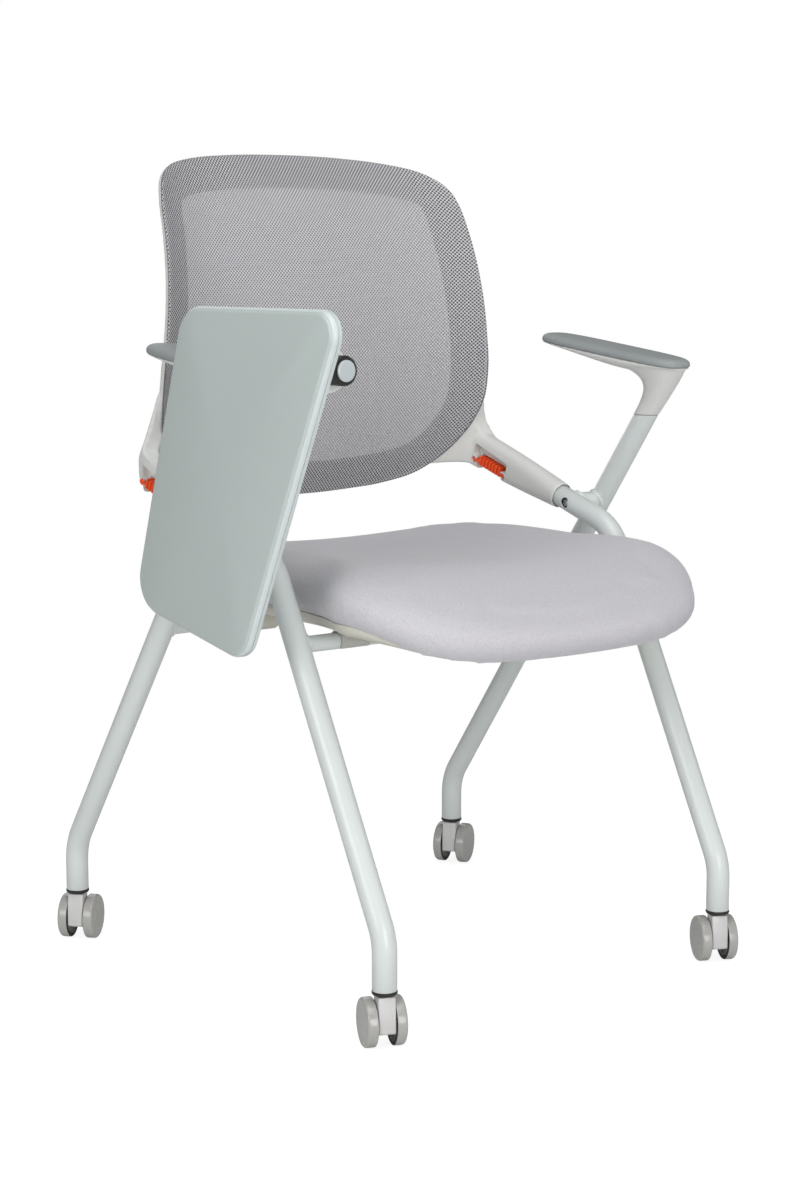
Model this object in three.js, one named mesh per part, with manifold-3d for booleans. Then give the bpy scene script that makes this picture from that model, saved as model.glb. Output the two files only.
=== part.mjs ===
// Nesting chair with a flip-up seat, a sprung mesh back, arms, casters and a writing tablet.
// Millimetres, +Z up, the sitter looks along -Y, the sitter's left is +X.
import * as THREE from 'three';
import { mergeVertices, toCreasedNormals } from 'three/addons/utils/BufferGeometryUtils.js';
import Module from 'manifold-3d';

const wasm = await Module();
wasm.setup();

// Fits and mesh fineness
const fitGap = 0.3;
const cutOverrun = 2;
const mergeTolerance = 0.0005;
const sliverSize = 0.02;
const tubeSides = 16;
const roundSides = 16;
const smallSides = 10;
const bendStepAngle = THREE.MathUtils.degToRad(12);
const creaseAngle = THREE.MathUtils.degToRad(35);

// Frame tubes: the seat's width sets the track, and the rear legs stand outside the front ones
const seatHalfWidth = 240;
const seatTubeInset = 4.5;
const frontLegTaper = 3.5;
const rearLegOffset = 39.9;
const armSplay = 4.6;
const tubeDiameter = 25;
const tubeWall = 1.6;
const legBendRadius = 62;
const kneeBendRadius = 60;
const kneeX = seatHalfWidth - seatTubeInset;
const frontHalfTrack = kneeX - frontLegTaper;
const rearHalfTrack = kneeX + rearLegOffset;
const frontLegY = -256.2;
const rearLegY = 256.2;
const legEndZ = 59.3;
const frontBendZ = 110.5;
const rearBendZ = 112;
const kneeY = -75.2;
const kneeZ = 466.4;
const backTubeEndY = 60;
const backTubeEndZ = 512.5;
const armTubeTopX = rearHalfTrack + armSplay;
const armTubeTopY = -83;
const armTubeTopZ = 592;
const crossTubeDiameter = 17;
const crossTubeZ = 383.4;
const spacerDiameter = 22;

// Casters
const wheelDiameter = 50;
const wheelWidth = 11;
const casterWidth = 41;
const casterTrail = 10;
const hoodWidth = 17;
const hoodTopZ = 50.3;
const hoodBottomZ = 12;
const hoodCorner = 4;
const hoodBevel = 1.5;
const axleDiameter = 6;
const axleRecess = 3.5;
const rimRound = 2.5;
const stemDiameter = 10;
const stemBottomZ = 30;
const stemTopZ = 92;
const stemFlangeDiameter = 15;
const stemFlangeHeight = 2;
const collarHeight = 6;
const collarDiameter = 26;
const collarPlugHeight = 28;
const casterYaw = { front_right: -22.2, front_left: -26.8, rear_right: -49.3, rear_left: -58.3 };

// Back: wings, ring and mesh
const wingHalfThickness = 12;
const lipRadius = 15;
const lipY = 8;
const wingEndY = 165;
const wingEndHalfHeight = 21.5;
const wingEndZ = 543;
const flexSeamY = 125;
const flexAxisZ = 541.5;
const spigotFrontY = -22;
const slotCentreY = 128;
const slotCentreZ = 520;
const slotSlope = THREE.MathUtils.degToRad(18);
const slotFrontReach = 33;
const slotRearReach = 30;
const slotTopFront = 17;
const slotTopRear = 20;
const slotShoulder = 4.5;
const slotWeb = 5;
const slotWebSlit = 2.6;
const slotSpringRoom = 0.8;
const slotThroatHalfLength = 24;
const slotDepth = 40;
const beadRadius = 3.7;
const beadOffset = 27.8;
const neckHalfHeight = 1.5;
const springHalfLength = 19.5;
const springTop = 7.6;
const springBottom = 4.6;
const springHalfWidth = 10;
const springCoreInset = 2.2;
const springRibCount = 7;
const springRibThickness = 3.2;
const backHalfWidth = 228;
const backTopZ = 885;
const backBottomZ = 496;
const backLumbarZ = 690;
const backLumbarY = 130;
const backTopSweep = 63;
const backBottomSweep = 42;
const backHollow = 35;
const hollowLowShare = 1.009;
const hollowTopShare = 0.865;
const ringWidth = 38;
const ringThickness = 8.5;
const meshThickness = 1.6;
const cornerBandThickness = 10;

// Seat
const seatRearY = 168;
const seatFrontY = -300;
const seatTopZ = 473;
const seatDish = 17;
const seatRearDrop = 5;
const seatFrontDrop = 42;
const seatWaterfall = 160;
const seatCornerWaterfall = 55;
const seamZ = 411;
const seamFrontZ = 373;
const seamDropLength = 125;
const cushionEdgeRoll = 38;
const cushionUnderTuck = 13;
const cushionFullness = 0.8;
const panBottomZ = 394.2;
const panFrontBottomZ = 369;
const panInset = 11;
const panFrontInset = 10;
const boardInset = 48;
const boardThickness = 9;
const hingeBlockHalfX = 14;
const blockShare = 0.625;
const hingeBlockX = blockShare * seatHalfWidth;
const hingeBlockRadius = 14.5;
const restSleeveX = blockShare * seatHalfWidth;
const restSleeveLength = 36;
const restSleeveWall = 1.9;

// Arms
const padHalfLength = 111;
const padHalfWidth = 28;
const padCentreY = -36;
const padRise = 68;
const padInboard = 6.5;
const padSeamZ = armTubeTopZ + padRise;
const padTilt = THREE.MathUtils.degToRad(6.8);
const padHeight = 10;
const trayDepth = 13;
const trayDepthTip = 3;
const trayDeepestShare = -0.3;

// Writing tablet and its hub
const tabletThickness = 12.7;
const tabletCorner = 35;
const tabletRise = 57.5;
const tabletTopRear = 184;
const tabletTopFront = 72;
const tabletFrontFootReach = 89;
const tabletFrontFootDrop = 284.5;
const tabletRearFootReach = 281;
const tabletRearFootDrop = 247.6;
const tabletUnderRound = 1.5;
const tabletFaceBevel = 4.5;
const tabletFaceBevelDepth = 6;
const hubX = -armTubeTopX;
const hubY = -248;
const hubRise = 5;
const hubZ = padSeamZ + hubRise;
const hubToTablet = 38.3;
const tabletInnerX = hubX - hubToTablet;
const hubLength = 24;
const hubRadius = 14.4;
const hubCrest = 20;
const hubFoot = 13;
const hubBevel = 1.5;
const barrelRadius = 22;
const barrelLength = 22;
const barrelBevel = 2;
const bracketRootInset = 15;
const bracketRootRise = 24;
const hubPinDiameter = 10;
const hubCapRadius = 10.3;
const hubCapHeight = 2.5;
const swivelDiscRadius = 24;
const swivelDiscThickness = 4;
const swivelStubRadius = 6;

const V = (x, y, z) => new THREE.Vector3(x, y, z);
const P = (x, y) => new THREE.Vector2(x, y);

// Colours and finishes
const finish = (color, roughness, metalness) => ({ color, roughness, metalness });
const paintedSteel = finish(0xd7dcda, 0.4, 0.1);
const bareSteel = finish(0xb4b6b8, 0.35, 0.9);
const paleMoulding = finish(0xd0d0cc, 0.5, 0);
const casterMoulding = finish(0xa5a3a0, 0.45, 0);
const blackMoulding = finish(0x151414, 0.45, 0);
const meshFabric = finish(0x9b9b9d, 0.9, 0);
const seatFabric = finish(0xc8c6ca, 0.95, 0);
const panMoulding = finish(0xcdcbc0, 0.55, 0);
const plywood = finish(0xc2a57c, 0.7, 0);
const paleRubber = finish(0xb9bab4, 0.85, 0);
const orangeElastomer = finish(0xf05a28, 0.5, 0);
const padSkin = finish(0x969ea0, 0.6, 0);
const tabletSkin = finish(0xacb4b2, 0.45, 0);

const chair = new THREE.Group();

// A closed mesh from a geometry, for joining and cutting
function solid(geometry) {
  const bare = geometry.clone();
  bare.deleteAttribute('normal');
  bare.deleteAttribute('uv');
  const merged = mergeVertices(bare, mergeTolerance);
  const kept = [];
  const index = merged.index.array;
  for (let i = 0; i < index.length; i += 3) {
    const [a, b, c] = [index[i], index[i + 1], index[i + 2]];
    if (a !== b && b !== c && c !== a) kept.push(a, b, c);
  }
  return new wasm.Manifold(new wasm.Mesh({
    numProp: 3,
    vertProperties: Float32Array.from(merged.attributes.position.array),
    triVerts: Uint32Array.from(kept),
  }));
}

// The geometry of a joined or cut solid
function shell(manifold) {
  const mesh = manifold.simplify(sliverSize).getMesh();
  const geometry = new THREE.BufferGeometry();
  geometry.setAttribute('position', new THREE.BufferAttribute(Float32Array.from(mesh.vertProperties), 3));
  geometry.setIndex(new THREE.BufferAttribute(Uint32Array.from(mesh.triVerts), 1));
  return geometry;
}

// The same geometry with its faces pointing out
function outward(geometry) {
  const position = geometry.attributes.position;
  const index = geometry.index.array;
  const [a, b, c] = [V(0, 0, 0), V(0, 0, 0), V(0, 0, 0)];
  let volume = 0;
  for (let i = 0; i < index.length; i += 3) {
    a.fromBufferAttribute(position, index[i]);
    b.fromBufferAttribute(position, index[i + 1]);
    c.fromBufferAttribute(position, index[i + 2]);
    volume += a.dot(b.cross(c));
  }
  if (volume < 0) {
    for (let i = 0; i < index.length; i += 3) {
      [index[i + 1], index[i + 2]] = [index[i + 2], index[i + 1]];
    }
  }
  return geometry;
}

// A surface through rings of points, closed by a fan at both ends
function loft(rings) {
  const count = rings[0].length;
  const points = rings.flat();
  const middle = (ring) => ring.reduce((sum, p) => sum.add(p), V(0, 0, 0)).divideScalar(count);
  points.push(middle(rings[0]), middle(rings.at(-1)));
  const index = [];
  for (let r = 0; r + 1 < rings.length; r += 1) {
    for (let k = 0; k < count; k += 1) {
      const next = (k + 1) % count;
      const [a, b] = [r * count + k, r * count + next];
      const [c, d] = [a + count, b + count];
      index.push(a, b, d, a, d, c);
    }
  }
  const lastRing = (rings.length - 1) * count;
  for (let k = 0; k < count; k += 1) {
    const next = (k + 1) % count;
    index.push(next, k, points.length - 2);
    index.push(lastRing + k, lastRing + next, points.length - 1);
  }
  const geometry = new THREE.BufferGeometry().setFromPoints(points);
  geometry.setIndex(new THREE.BufferAttribute(Uint32Array.from(index), 1));
  return outward(geometry);
}

// One ring of a superellipse about a centre, spanned by two directions
function superRing(centre, across, up, halfAcross, halfUp, power, count) {
  const bend = (value) => Math.sign(value) * Math.abs(value) ** (2 / power);
  return Array.from({ length: count }, (_, k) => {
    const angle = (2 * Math.PI * k) / count;
    return centre.clone()
      .addScaledVector(across, halfAcross * bend(Math.cos(angle)))
      .addScaledVector(up, halfUp * bend(Math.sin(angle)));
  });
}

// An outline pushed along X, Y or Z between two places
function prism(outline, axis, from, to, bevel = 0, arcSteps = tubeSides / 2) {
  const shape = outline instanceof THREE.Shape ? outline : new THREE.Shape(outline);
  const geometry = new THREE.ExtrudeGeometry(shape, {
    depth: Math.abs(to - from) - 2 * bevel,
    bevelEnabled: bevel > 0,
    bevelSize: bevel,
    bevelThickness: bevel,
    bevelOffset: -bevel,
    bevelSegments: 1,
    curveSegments: arcSteps,
  });
  geometry.translate(0, 0, bevel);
  if (axis === 'x') {
    geometry.applyMatrix4(new THREE.Matrix4().makeBasis(V(0, 1, 0), V(0, 0, 1), V(1, 0, 0)));
    geometry.translate(Math.min(from, to), 0, 0);
  } else if (axis === 'y') {
    geometry.applyMatrix4(new THREE.Matrix4().makeBasis(V(1, 0, 0), V(0, 0, 1), V(0, -1, 0)));
    geometry.translate(0, Math.max(from, to), 0);
  } else {
    geometry.translate(0, 0, Math.min(from, to));
  }
  return geometry;
}

// A revolved profile with its seam closed and its faces pointing out
function closedLathe(profile, sides) {
  const bare = new THREE.LatheGeometry(profile, sides);
  bare.deleteAttribute('normal');
  bare.deleteAttribute('uv');
  return outward(mergeVertices(bare, mergeTolerance));
}

// A straight round bar between two points
function bar(start, end, radius, sides = roundSides) {
  const geometry = new THREE.CylinderGeometry(radius, radius, start.distanceTo(end), sides);
  const turn = new THREE.Quaternion().setFromUnitVectors(V(0, 1, 0), end.clone().sub(start).normalize());
  geometry.applyQuaternion(turn);
  const middle = start.clone().add(end).multiplyScalar(0.5);
  return geometry.translate(middle.x, middle.y, middle.z);
}

// A path that keeps its own stations, so straight runs take one step
class StationPath extends THREE.Curve {
  constructor(stations) {
    super();
    this.stations = stations;
  }

  pick(t, key) {
    const place = t * (this.stations.length - 1);
    const low = Math.min(Math.floor(place + mergeTolerance), this.stations.length - 2);
    return this.stations[low][key].clone().lerp(this.stations[low + 1][key], place - low);
  }

  getPoint(t) { return this.pick(t, 'point'); }

  getTangent(t) { return this.pick(t, 'tangent').normalize(); }

  getPointAt(u) { return this.getPoint(u); }

  getTangentAt(u) { return this.getTangent(u); }
}

// Straight runs between corners, with a round bend at each inner corner
function bentPath(corners, bendRadii) {
  const stations = [];
  const run = (i) => corners[i + 1].clone().sub(corners[i]).normalize();
  stations.push({ point: corners[0].clone(), tangent: run(0) });
  for (let i = 1; i + 1 < corners.length; i += 1) {
    const [before, after] = [run(i - 1), run(i)];
    const turn = before.angleTo(after);
    const radius = bendRadii[i - 1];
    const setback = radius * Math.tan(turn / 2);
    const start = corners[i].clone().addScaledVector(before, -setback);
    const axis = before.clone().cross(after).normalize();
    const toCentre = axis.clone().cross(before);
    const centre = start.clone().addScaledVector(toCentre, radius);
    const steps = Math.ceil(turn / bendStepAngle);
    for (let k = 0; k <= steps; k += 1) {
      const angle = (turn * k) / steps;
      stations.push({
        point: centre.clone().addScaledVector(toCentre.clone().applyAxisAngle(axis, angle), -radius),
        tangent: before.clone().applyAxisAngle(axis, angle),
      });
    }
  }
  stations.push({ point: corners.at(-1).clone(), tangent: run(corners.length - 2) });
  return new StationPath(stations);
}

// A tube or, with no bore, a rod along a path
function pipe(path, radius, boreRadius = 0) {
  const section = new THREE.Shape().absarc(0, 0, radius, 0, 2 * Math.PI);
  if (boreRadius > 0) section.holes.push(new THREE.Path().absarc(0, 0, boreRadius, 0, 2 * Math.PI, true));
  return new THREE.ExtrudeGeometry(section, {
    extrudePath: path,
    steps: path.stations.length - 1,
    bevelEnabled: false,
    curveSegments: tubeSides / 2,
  });
}

// The mirror image on the sitter's other side
function mirrored(geometry) {
  const copy = geometry.clone();
  copy.scale(-1, 1, 1);
  return copy.index ? outward(copy) : outward(mergeVertices(copy, mergeTolerance));
}

// One named piece of the chair
function add(name, geometry, look, parent = chair) {
  const bare = geometry.clone();
  bare.deleteAttribute('uv');
  bare.deleteAttribute('normal');
  const mesh = new THREE.Mesh(toCreasedNormals(bare, creaseAngle), new THREE.MeshStandardMaterial(look));
  mesh.name = name;
  parent.add(mesh);
  return mesh;
}

// The same piece on both sides, given as the left one
function addPair(name, geometry, look) {
  add(`${name}_left`, geometry, look);
  add(`${name}_right`, mirrored(geometry), look);
}

// Frame: each side has a front leg that bends back to carry the backrest,
// and a rear leg that runs straight up and forward to carry the arm.
const tubeRadius = tubeDiameter / 2;
const boreRadius = tubeRadius - tubeWall;
const frontCorners = [
  V(frontHalfTrack, frontLegY, legEndZ),
  V(frontHalfTrack, frontLegY, frontBendZ),
  V(kneeX, kneeY, kneeZ),
  V(kneeX, backTubeEndY, backTubeEndZ),
];
const rearCorners = [
  V(rearHalfTrack, rearLegY, legEndZ),
  V(rearHalfTrack, rearLegY, rearBendZ),
  V(armTubeTopX, armTubeTopY, armTubeTopZ),
];
const frontPath = bentPath(frontCorners, [legBendRadius, kneeBendRadius]);
const rearPath = bentPath(rearCorners, [legBendRadius]);
const backRun = frontCorners[3].clone().sub(frontCorners[2]).normalize();
const backTubeAt = (y) => frontCorners[2].clone().addScaledVector(backRun, (y - kneeY) / backRun.y);
const armRun = rearCorners[2].clone().sub(rearCorners[1]).normalize();
const legPointAt = (corners, z) => {
  const run = corners[2].clone().sub(corners[1]);
  return corners[1].clone().addScaledVector(run, (z - corners[1].z) / run.z);
};

// The screw that holds the backrest socket, on the inner side of the tube
const screwY = -9;
const screwHeadRadius = 4;
const screwHeadHeight = 2.2;
const screwHoleRadius = 4.7;
const screwShankRadius = 2.1;
const screwLength = 14;
const screwAt = backTubeAt(screwY);
const spigotFlat = 0.6;
const screwSeatX = kneeX - boreRadius + fitGap + spigotFlat;

function frontTube() {
  const hole = bar(screwAt.clone().setX(kneeX - tubeDiameter), screwAt, screwHoleRadius, tubeSides);
  return shell(solid(pipe(frontPath, tubeRadius, boreRadius)).subtract(solid(hole)));
}

function rearTube() {
  const raised = legPointAt(rearCorners, armTubeTopZ + tubeRadius);
  const path = bentPath([rearCorners[0], rearCorners[1], raised], [legBendRadius]);
  const topCut = new THREE.BoxGeometry(4 * tubeRadius, 4 * tubeRadius, 4 * tubeRadius);
  topCut.translate(armTubeTopX, armTubeTopY, armTubeTopZ + 2 * tubeRadius);
  return shell(solid(pipe(path, tubeRadius, boreRadius)).subtract(solid(topCut)));
}

addPair('leg_tube_front', frontTube(), paintedSteel);
addPair('leg_tube_rear', rearTube(), paintedSteel);

// A straight tube welded between the two legs of one pair
function crossTube(corners, path) {
  const end = legPointAt(corners, crossTubeZ);
  const radius = crossTubeDiameter / 2;
  const tube = solid(pipe(bentPath([end, end.clone().setX(-end.x)], []), radius, radius - tubeWall));
  const leg = pipe(path, tubeRadius + fitGap);
  return shell(tube.subtract(solid(leg)).subtract(solid(mirrored(leg))));
}

add('cross_tube_front', crossTube(frontCorners, frontPath), paintedSteel);
add('cross_tube_rear', crossTube(rearCorners, rearPath), paintedSteel);

// The welded boss that joins the two tubes of one side where they pass each other
function crossingSpacer() {
  const rise = (backTubeEndZ - kneeZ) / (backTubeEndY - kneeY);
  const lean = armRun.y / armRun.z;
  const z = (kneeZ + rise * (rearLegY - lean * rearBendZ - kneeY)) / (1 - rise * lean);
  const place = legPointAt(rearCorners, z);
  const boss = solid(bar(place.clone().setX(kneeX), place.clone(), spacerDiameter / 2));
  const tubes = [pipe(frontPath, tubeRadius + fitGap), pipe(rearPath, tubeRadius + fitGap)];
  return shell(boss.subtract(solid(tubes[0])).subtract(solid(tubes[1])));
}

addPair('frame_spacer', crossingSpacer(), paintedSteel);

// Backrest surface: bowed forward at the lumbar height and hollow across
const backSpan = backTopZ - backBottomZ;
function backSurfaceY(x, z) {
  const above = Math.max(0, z - backLumbarZ) / (backTopZ - backLumbarZ);
  const below = Math.max(0, backLumbarZ - z) / (backLumbarZ - backBottomZ);
  const edge = backLumbarY + backTopSweep * above ** 2 + backBottomSweep * below ** 2;
  const rise = THREE.MathUtils.clamp((z - backBottomZ) / backSpan, 0, 1);
  const halfWidth = backHalfWidth * THREE.MathUtils.lerp(hollowLowShare, hollowTopShare, rise ** 2);
  return edge + backHollow * (1 - Math.min(1, Math.abs(x) / halfWidth) ** 4);
}

// Half outline of the mesh, as shares of the half width and of the height
const backOutlineShares = [
  [0, 1], [0.35, 0.995], [0.61, 0.98], [0.77, 0.957], [0.865, 0.918], [0.91, 0.86], [0.93, 0.78],
  [0.956, 0.635], [0.983, 0.485], [1, 0.37], [0.995, 0.267], [0.948, 0.185], [0.856, 0.108],
  [0.72, 0.048], [0.524, 0.018], [0.24, 0.003], [0, 0],
];
function backOutline(grow) {
  const half = backOutlineShares.map(([x, z]) => P(x * backHalfWidth, backBottomZ + z * backSpan));
  const whole = [...half, ...half.slice(1, -1).reverse().map((p) => P(-p.x, p.y))];
  const curve = new THREE.CatmullRomCurve3(whole.map((p) => V(p.x, p.y, 0)), true);
  const points = curve.getSpacedPoints(backOutlineCount).slice(0, -1);
  return points.map((p, k) => {
    const before = points.at(k - 1);
    const after = points[(k + 1) % points.length];
    const along = after.clone().sub(before).normalize();
    return P(p.x - along.y * grow, p.y + along.x * grow);
  });
}

// A slab that follows the backrest surface between two depths behind it
const slabCellsAcross = 10;
const slabCellsUp = 11;
const backOutlineCount = 52;
function backSlab(front, rear) {
  const width = 2 * (backHalfWidth + ringWidth);
  const height = backSpan + 2 * ringWidth;
  const slab = new THREE.BoxGeometry(width, rear - front, height, slabCellsAcross, 1, slabCellsUp);
  slab.translate(0, (rear + front) / 2, (backTopZ + backBottomZ) / 2);
  const place = slab.attributes.position;
  for (let i = 0; i < place.count; i += 1) {
    place.setY(i, place.getY(i) + backSurfaceY(place.getX(i), place.getZ(i)));
  }
  return solid(slab);
}

const backReach = [0, backLumbarY + backTopSweep + backHollow + 2 * ringWidth];
const meshOutlinePrism = (grow) => solid(prism(backOutline(grow), 'y', ...backReach));
const meshPanel = backSlab(0, meshThickness).intersect(meshOutlinePrism(0));
add('back_mesh', shell(meshPanel), meshFabric);

// Wing blade: round where it takes the tube, tall and flat where it meets the backrest
const wingUp = V(0, -Math.sin(slotSlope), Math.cos(slotSlope));
const wingSquareness = 3.3;
const wingSectionCount = 7;
const hipChamfer = 12;
const hipChamferLength = 19;
function wingBlade() {
  const start = backTubeAt(lipY);
  const end = V(kneeX, wingEndY, wingEndZ);
  const rings = Array.from({ length: wingSectionCount }, (_, k) => {
    const share = k / (wingSectionCount - 1);
    const centre = start.clone().lerp(end, share);
    const swell = Math.sin((share * Math.PI) / 2);
    const halfHeight = THREE.MathUtils.lerp(lipRadius, wingEndHalfHeight, swell);
    const halfThickness = THREE.MathUtils.lerp(lipRadius, wingHalfThickness, swell);
    const squareness = THREE.MathUtils.lerp(2, wingSquareness, swell);
    return superRing(centre, V(1, 0, 0), wingUp, halfThickness, halfHeight, squareness, roundSides);
  });
  const hip = prism([
    P(kneeX + wingHalfThickness + fitGap, wingEndY - hipChamferLength),
    P(kneeX + 2 * wingHalfThickness, wingEndY - hipChamferLength),
    P(kneeX + 2 * wingHalfThickness, wingEndY + cutOverrun),
    P(kneeX + wingHalfThickness - hipChamfer, wingEndY + cutOverrun),
  ], 'z', 0, backTopZ);
  return solid(loft(rings)).subtract(solid(hip));
}

// The slot at the lower edge of the wing, with a round pocket for each bead of the spring
const slotPoint = (along, up) => P(
  slotCentreY + along * Math.cos(slotSlope) - up * Math.sin(slotSlope),
  slotCentreZ + along * Math.sin(slotSlope) + up * Math.cos(slotSlope),
);
function slotCut() {
  const reach = [kneeX - 2 * wingHalfThickness, kneeX + 2 * wingHalfThickness];
  const box = (along0, along1, up0, up1) => solid(prism([
    slotPoint(along0, up0), slotPoint(along1, up0), slotPoint(along1, up1), slotPoint(along0, up1),
  ], 'x', ...reach));
  const window = [
    slotPoint(-slotFrontReach, slotShoulder), slotPoint(slotRearReach, slotShoulder),
    slotPoint(slotRearReach, slotTopRear), slotPoint(-slotFrontReach, slotTopFront),
  ];
  const windowFrom = (near, far) => solid(prism(window, 'x', near, far));
  const slit = seamSide(windowFrom(...reach), 1);
  const slitBack = new THREE.BoxGeometry(backSpan, slotWebSlit, backSpan);
  slitBack.translate(kneeX, flexSeamY + slotWebSlit / 2, flexAxisZ);
  const pocket = (side) => {
    const centre = slotPoint(side * beadOffset, 0);
    const [near, far] = reach.map((x) => V(x, centre.x, centre.y));
    return solid(bar(near, far, beadRadius + fitGap, tubeSides));
  };
  const neck = neckHalfHeight + fitGap;
  return windowFrom(reach[0], kneeX - slotWeb / 2)
    .add(windowFrom(kneeX + slotWeb / 2, reach[1]))
    .add(slit.intersect(solid(slitBack)))
    .add(box(-slotThroatHalfLength, slotThroatHalfLength, -slotDepth, springTop + slotSpringRoom))
    .add(box(-beadOffset, beadOffset, -neck, neck))
    .add(pocket(-1)).add(pocket(1));
}

// Keeps what lies on one side of the flex seam
function seamSide(manifold, side) {
  const size = backSpan;
  const block = new THREE.BoxGeometry(size, size, size);
  block.translate(kneeX, flexSeamY + side * (size / 2 + fitGap / 2), flexAxisZ);
  return manifold.intersect(solid(block));
}

// Socket: takes the frame tube between an outer sleeve and an inner spigot
function backSocket() {
  const cavity = bar(backTubeAt(spigotFrontY - tubeDiameter), backTubeAt(backTubeEndY + fitGap),
    tubeRadius + fitGap);
  const spigot = bar(backTubeAt(spigotFrontY), backTubeAt(backTubeEndY + cutOverrun),
    boreRadius - fitGap, tubeSides);
  const pilot = bar(screwAt.clone().setX(kneeX - tubeDiameter), screwAt.clone().setX(screwSeatX + screwLength + fitGap),
    screwShankRadius + fitGap, tubeSides);
  const seat = bar(screwAt.clone().setX(kneeX - tubeDiameter), screwAt.clone().setX(screwSeatX + fitGap),
    screwHoleRadius, tubeSides);
  const sleeve = wingBlade().subtract(solid(cavity)).add(solid(spigot)).subtract(slotCut());
  return shell(seamSide(sleeve, -1).subtract(solid(pilot)).subtract(solid(seat)));
}

addPair('back_socket', backSocket(), paleMoulding);

function socketScrew() {
  const seat = screwAt.clone().setX(screwSeatX);
  const head = bar(seat.clone().setX(screwSeatX - screwHeadHeight), seat, screwHeadRadius, tubeSides);
  const shank = bar(seat.clone().setX(screwSeatX - screwHeadHeight / 2), seat.clone().setX(screwSeatX + screwLength),
    screwShankRadius, tubeSides);
  return shell(solid(head).add(solid(shank)));
}

addPair('socket_screw', socketScrew(), bareSteel);

// Lower corner of the backrest: a curved wall that turns from the wing into the ring
const bendShare = 0.035;
const bandWallShares = [0.35, 0.65, 1];
const bandSteps = 12;
const bandThinning = 1.6;
function cornerBand() {
  const wallAt = (share) => {
    const x = THREE.MathUtils.lerp(kneeX, backHalfWidth / 2, share);
    return V(x, backSurfaceY(x, wingEndZ) + meshThickness + fitGap + cornerBandThickness / 2, 0);
  };
  const bend = wallAt(bendShare);
  const spine = new THREE.CatmullRomCurve3([
    V(kneeX, flexSeamY - cutOverrun, 0),
    V(kneeX, (flexSeamY + bend.y) / 2, 0),
    bend,
    ...bandWallShares.map(wallAt),
  ]);
  const [outer, inner] = [[], []];
  for (let k = 0; k <= bandSteps; k += 1) {
    const share = k / bandSteps;
    const point = spine.getPointAt(share);
    const along = spine.getTangentAt(share);
    const thinned = Math.min(1, bandThinning * share);
    const half = THREE.MathUtils.lerp(wingHalfThickness, cornerBandThickness / 2, thinned);
    outer.push(P(point.x + along.y * half, point.y - along.x * half));
    inner.push(P(point.x - along.y * half, point.y + along.x * half));
  }
  return new THREE.Shape([...outer, ...inner.reverse()]);
}

// Side view of the wing's root on the backrest, as shares of the corner's depth and height
const cornerSideShares = [
  [0, 0.09], [0.16, 0.12], [0.4, 0.155], [0.67, 0.13], [1, 0.08], [1, 1], [0.12, 1], [0.15, 0.72],
  [0.19, 0.53], [0.205, 0.43], [0.175, 0.37], [0, 0.293],
];
const cornerReachY = 120;
const cornerFloorZ = 498;
const cornerHeight = 170;
// Front view of the same corner, as shares of the back's half width and the corner's height
const cornerFrontShares = [
  [0.5, 0], [0.9, 0], [0.965, 0.06], [1.005, 0.13], [1.04, 0.2], [1.075, 0.3], [1.08, 0.39], [1.055, 0.45],
  [1.036, 0.53], [1.024, 0.61], [1.004, 0.73], [0.975, 0.9], [0.94, 1],
  [0.93, 1], [0.92, 0.7], [0.86, 0.5], [0.76, 0.35], [0.62, 0.22], [0.5, 0.15],
];
const cornerSteps = 6;
const cornerFrontReach = 1.14;
const cornerOverhang = 25.6;
function backCorner() {
  const wall = new THREE.ExtrudeGeometry(cornerBand(), {
    depth: cornerHeight, steps: cornerSteps, bevelEnabled: false,
  });
  wall.translate(0, 0, cornerFloorZ);
  const place = wall.attributes.position;
  for (let i = 0; i < place.count; i += 1) {
    const lean = backSurfaceY(backHalfWidth, place.getZ(i)) - backSurfaceY(backHalfWidth, wingEndZ);
    const ramp = THREE.MathUtils.smoothstep(place.getY(i), flexSeamY, backSurfaceY(backHalfWidth, wingEndZ));
    place.setY(i, place.getY(i) + lean * ramp);
  }
  const side = cornerSideShares.map(([y, z]) => P(flexSeamY + y * cornerReachY, cornerFloorZ + z * cornerHeight));
  const pastEdge = (kneeX + cornerOverhang - backHalfWidth) / (cornerFrontReach - 1);
  const face = cornerFrontShares.map(([x, z]) => P(
    backHalfWidth * Math.min(x, 1) + pastEdge * Math.max(x - 1, 0), cornerFloorZ + z * cornerHeight,
  ));
  return solid(wall)
    .intersect(solid(prism(side, 'x', 0, 2 * backHalfWidth)))
    .intersect(solid(prism(face, 'y', 0, 2 * backHalfWidth)));
}

// Backrest frame: ring behind the mesh, both lower corners and both wing stubs in one moulding
function backFrame() {
  const ringFront = meshThickness + fitGap;
  const opening = meshOutlinePrism(-ringWidth);
  const ring = backSlab(0, ringFront + ringThickness).intersect(meshOutlinePrism(0)).subtract(opening);
  const meshRecess = backSlab(-ringWidth, ringFront).intersect(meshOutlinePrism(fitGap));
  const corner = seamSide(wingBlade(), 1).add(backCorner()).subtract(slotCut()).subtract(meshRecess);
  const cornerShell = shell(seamSide(corner, 1));
  return shell(ring.subtract(meshRecess).add(solid(cornerShell)).add(solid(mirrored(cornerShell))));
}

add('back_frame', backFrame(), paleMoulding);

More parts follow.
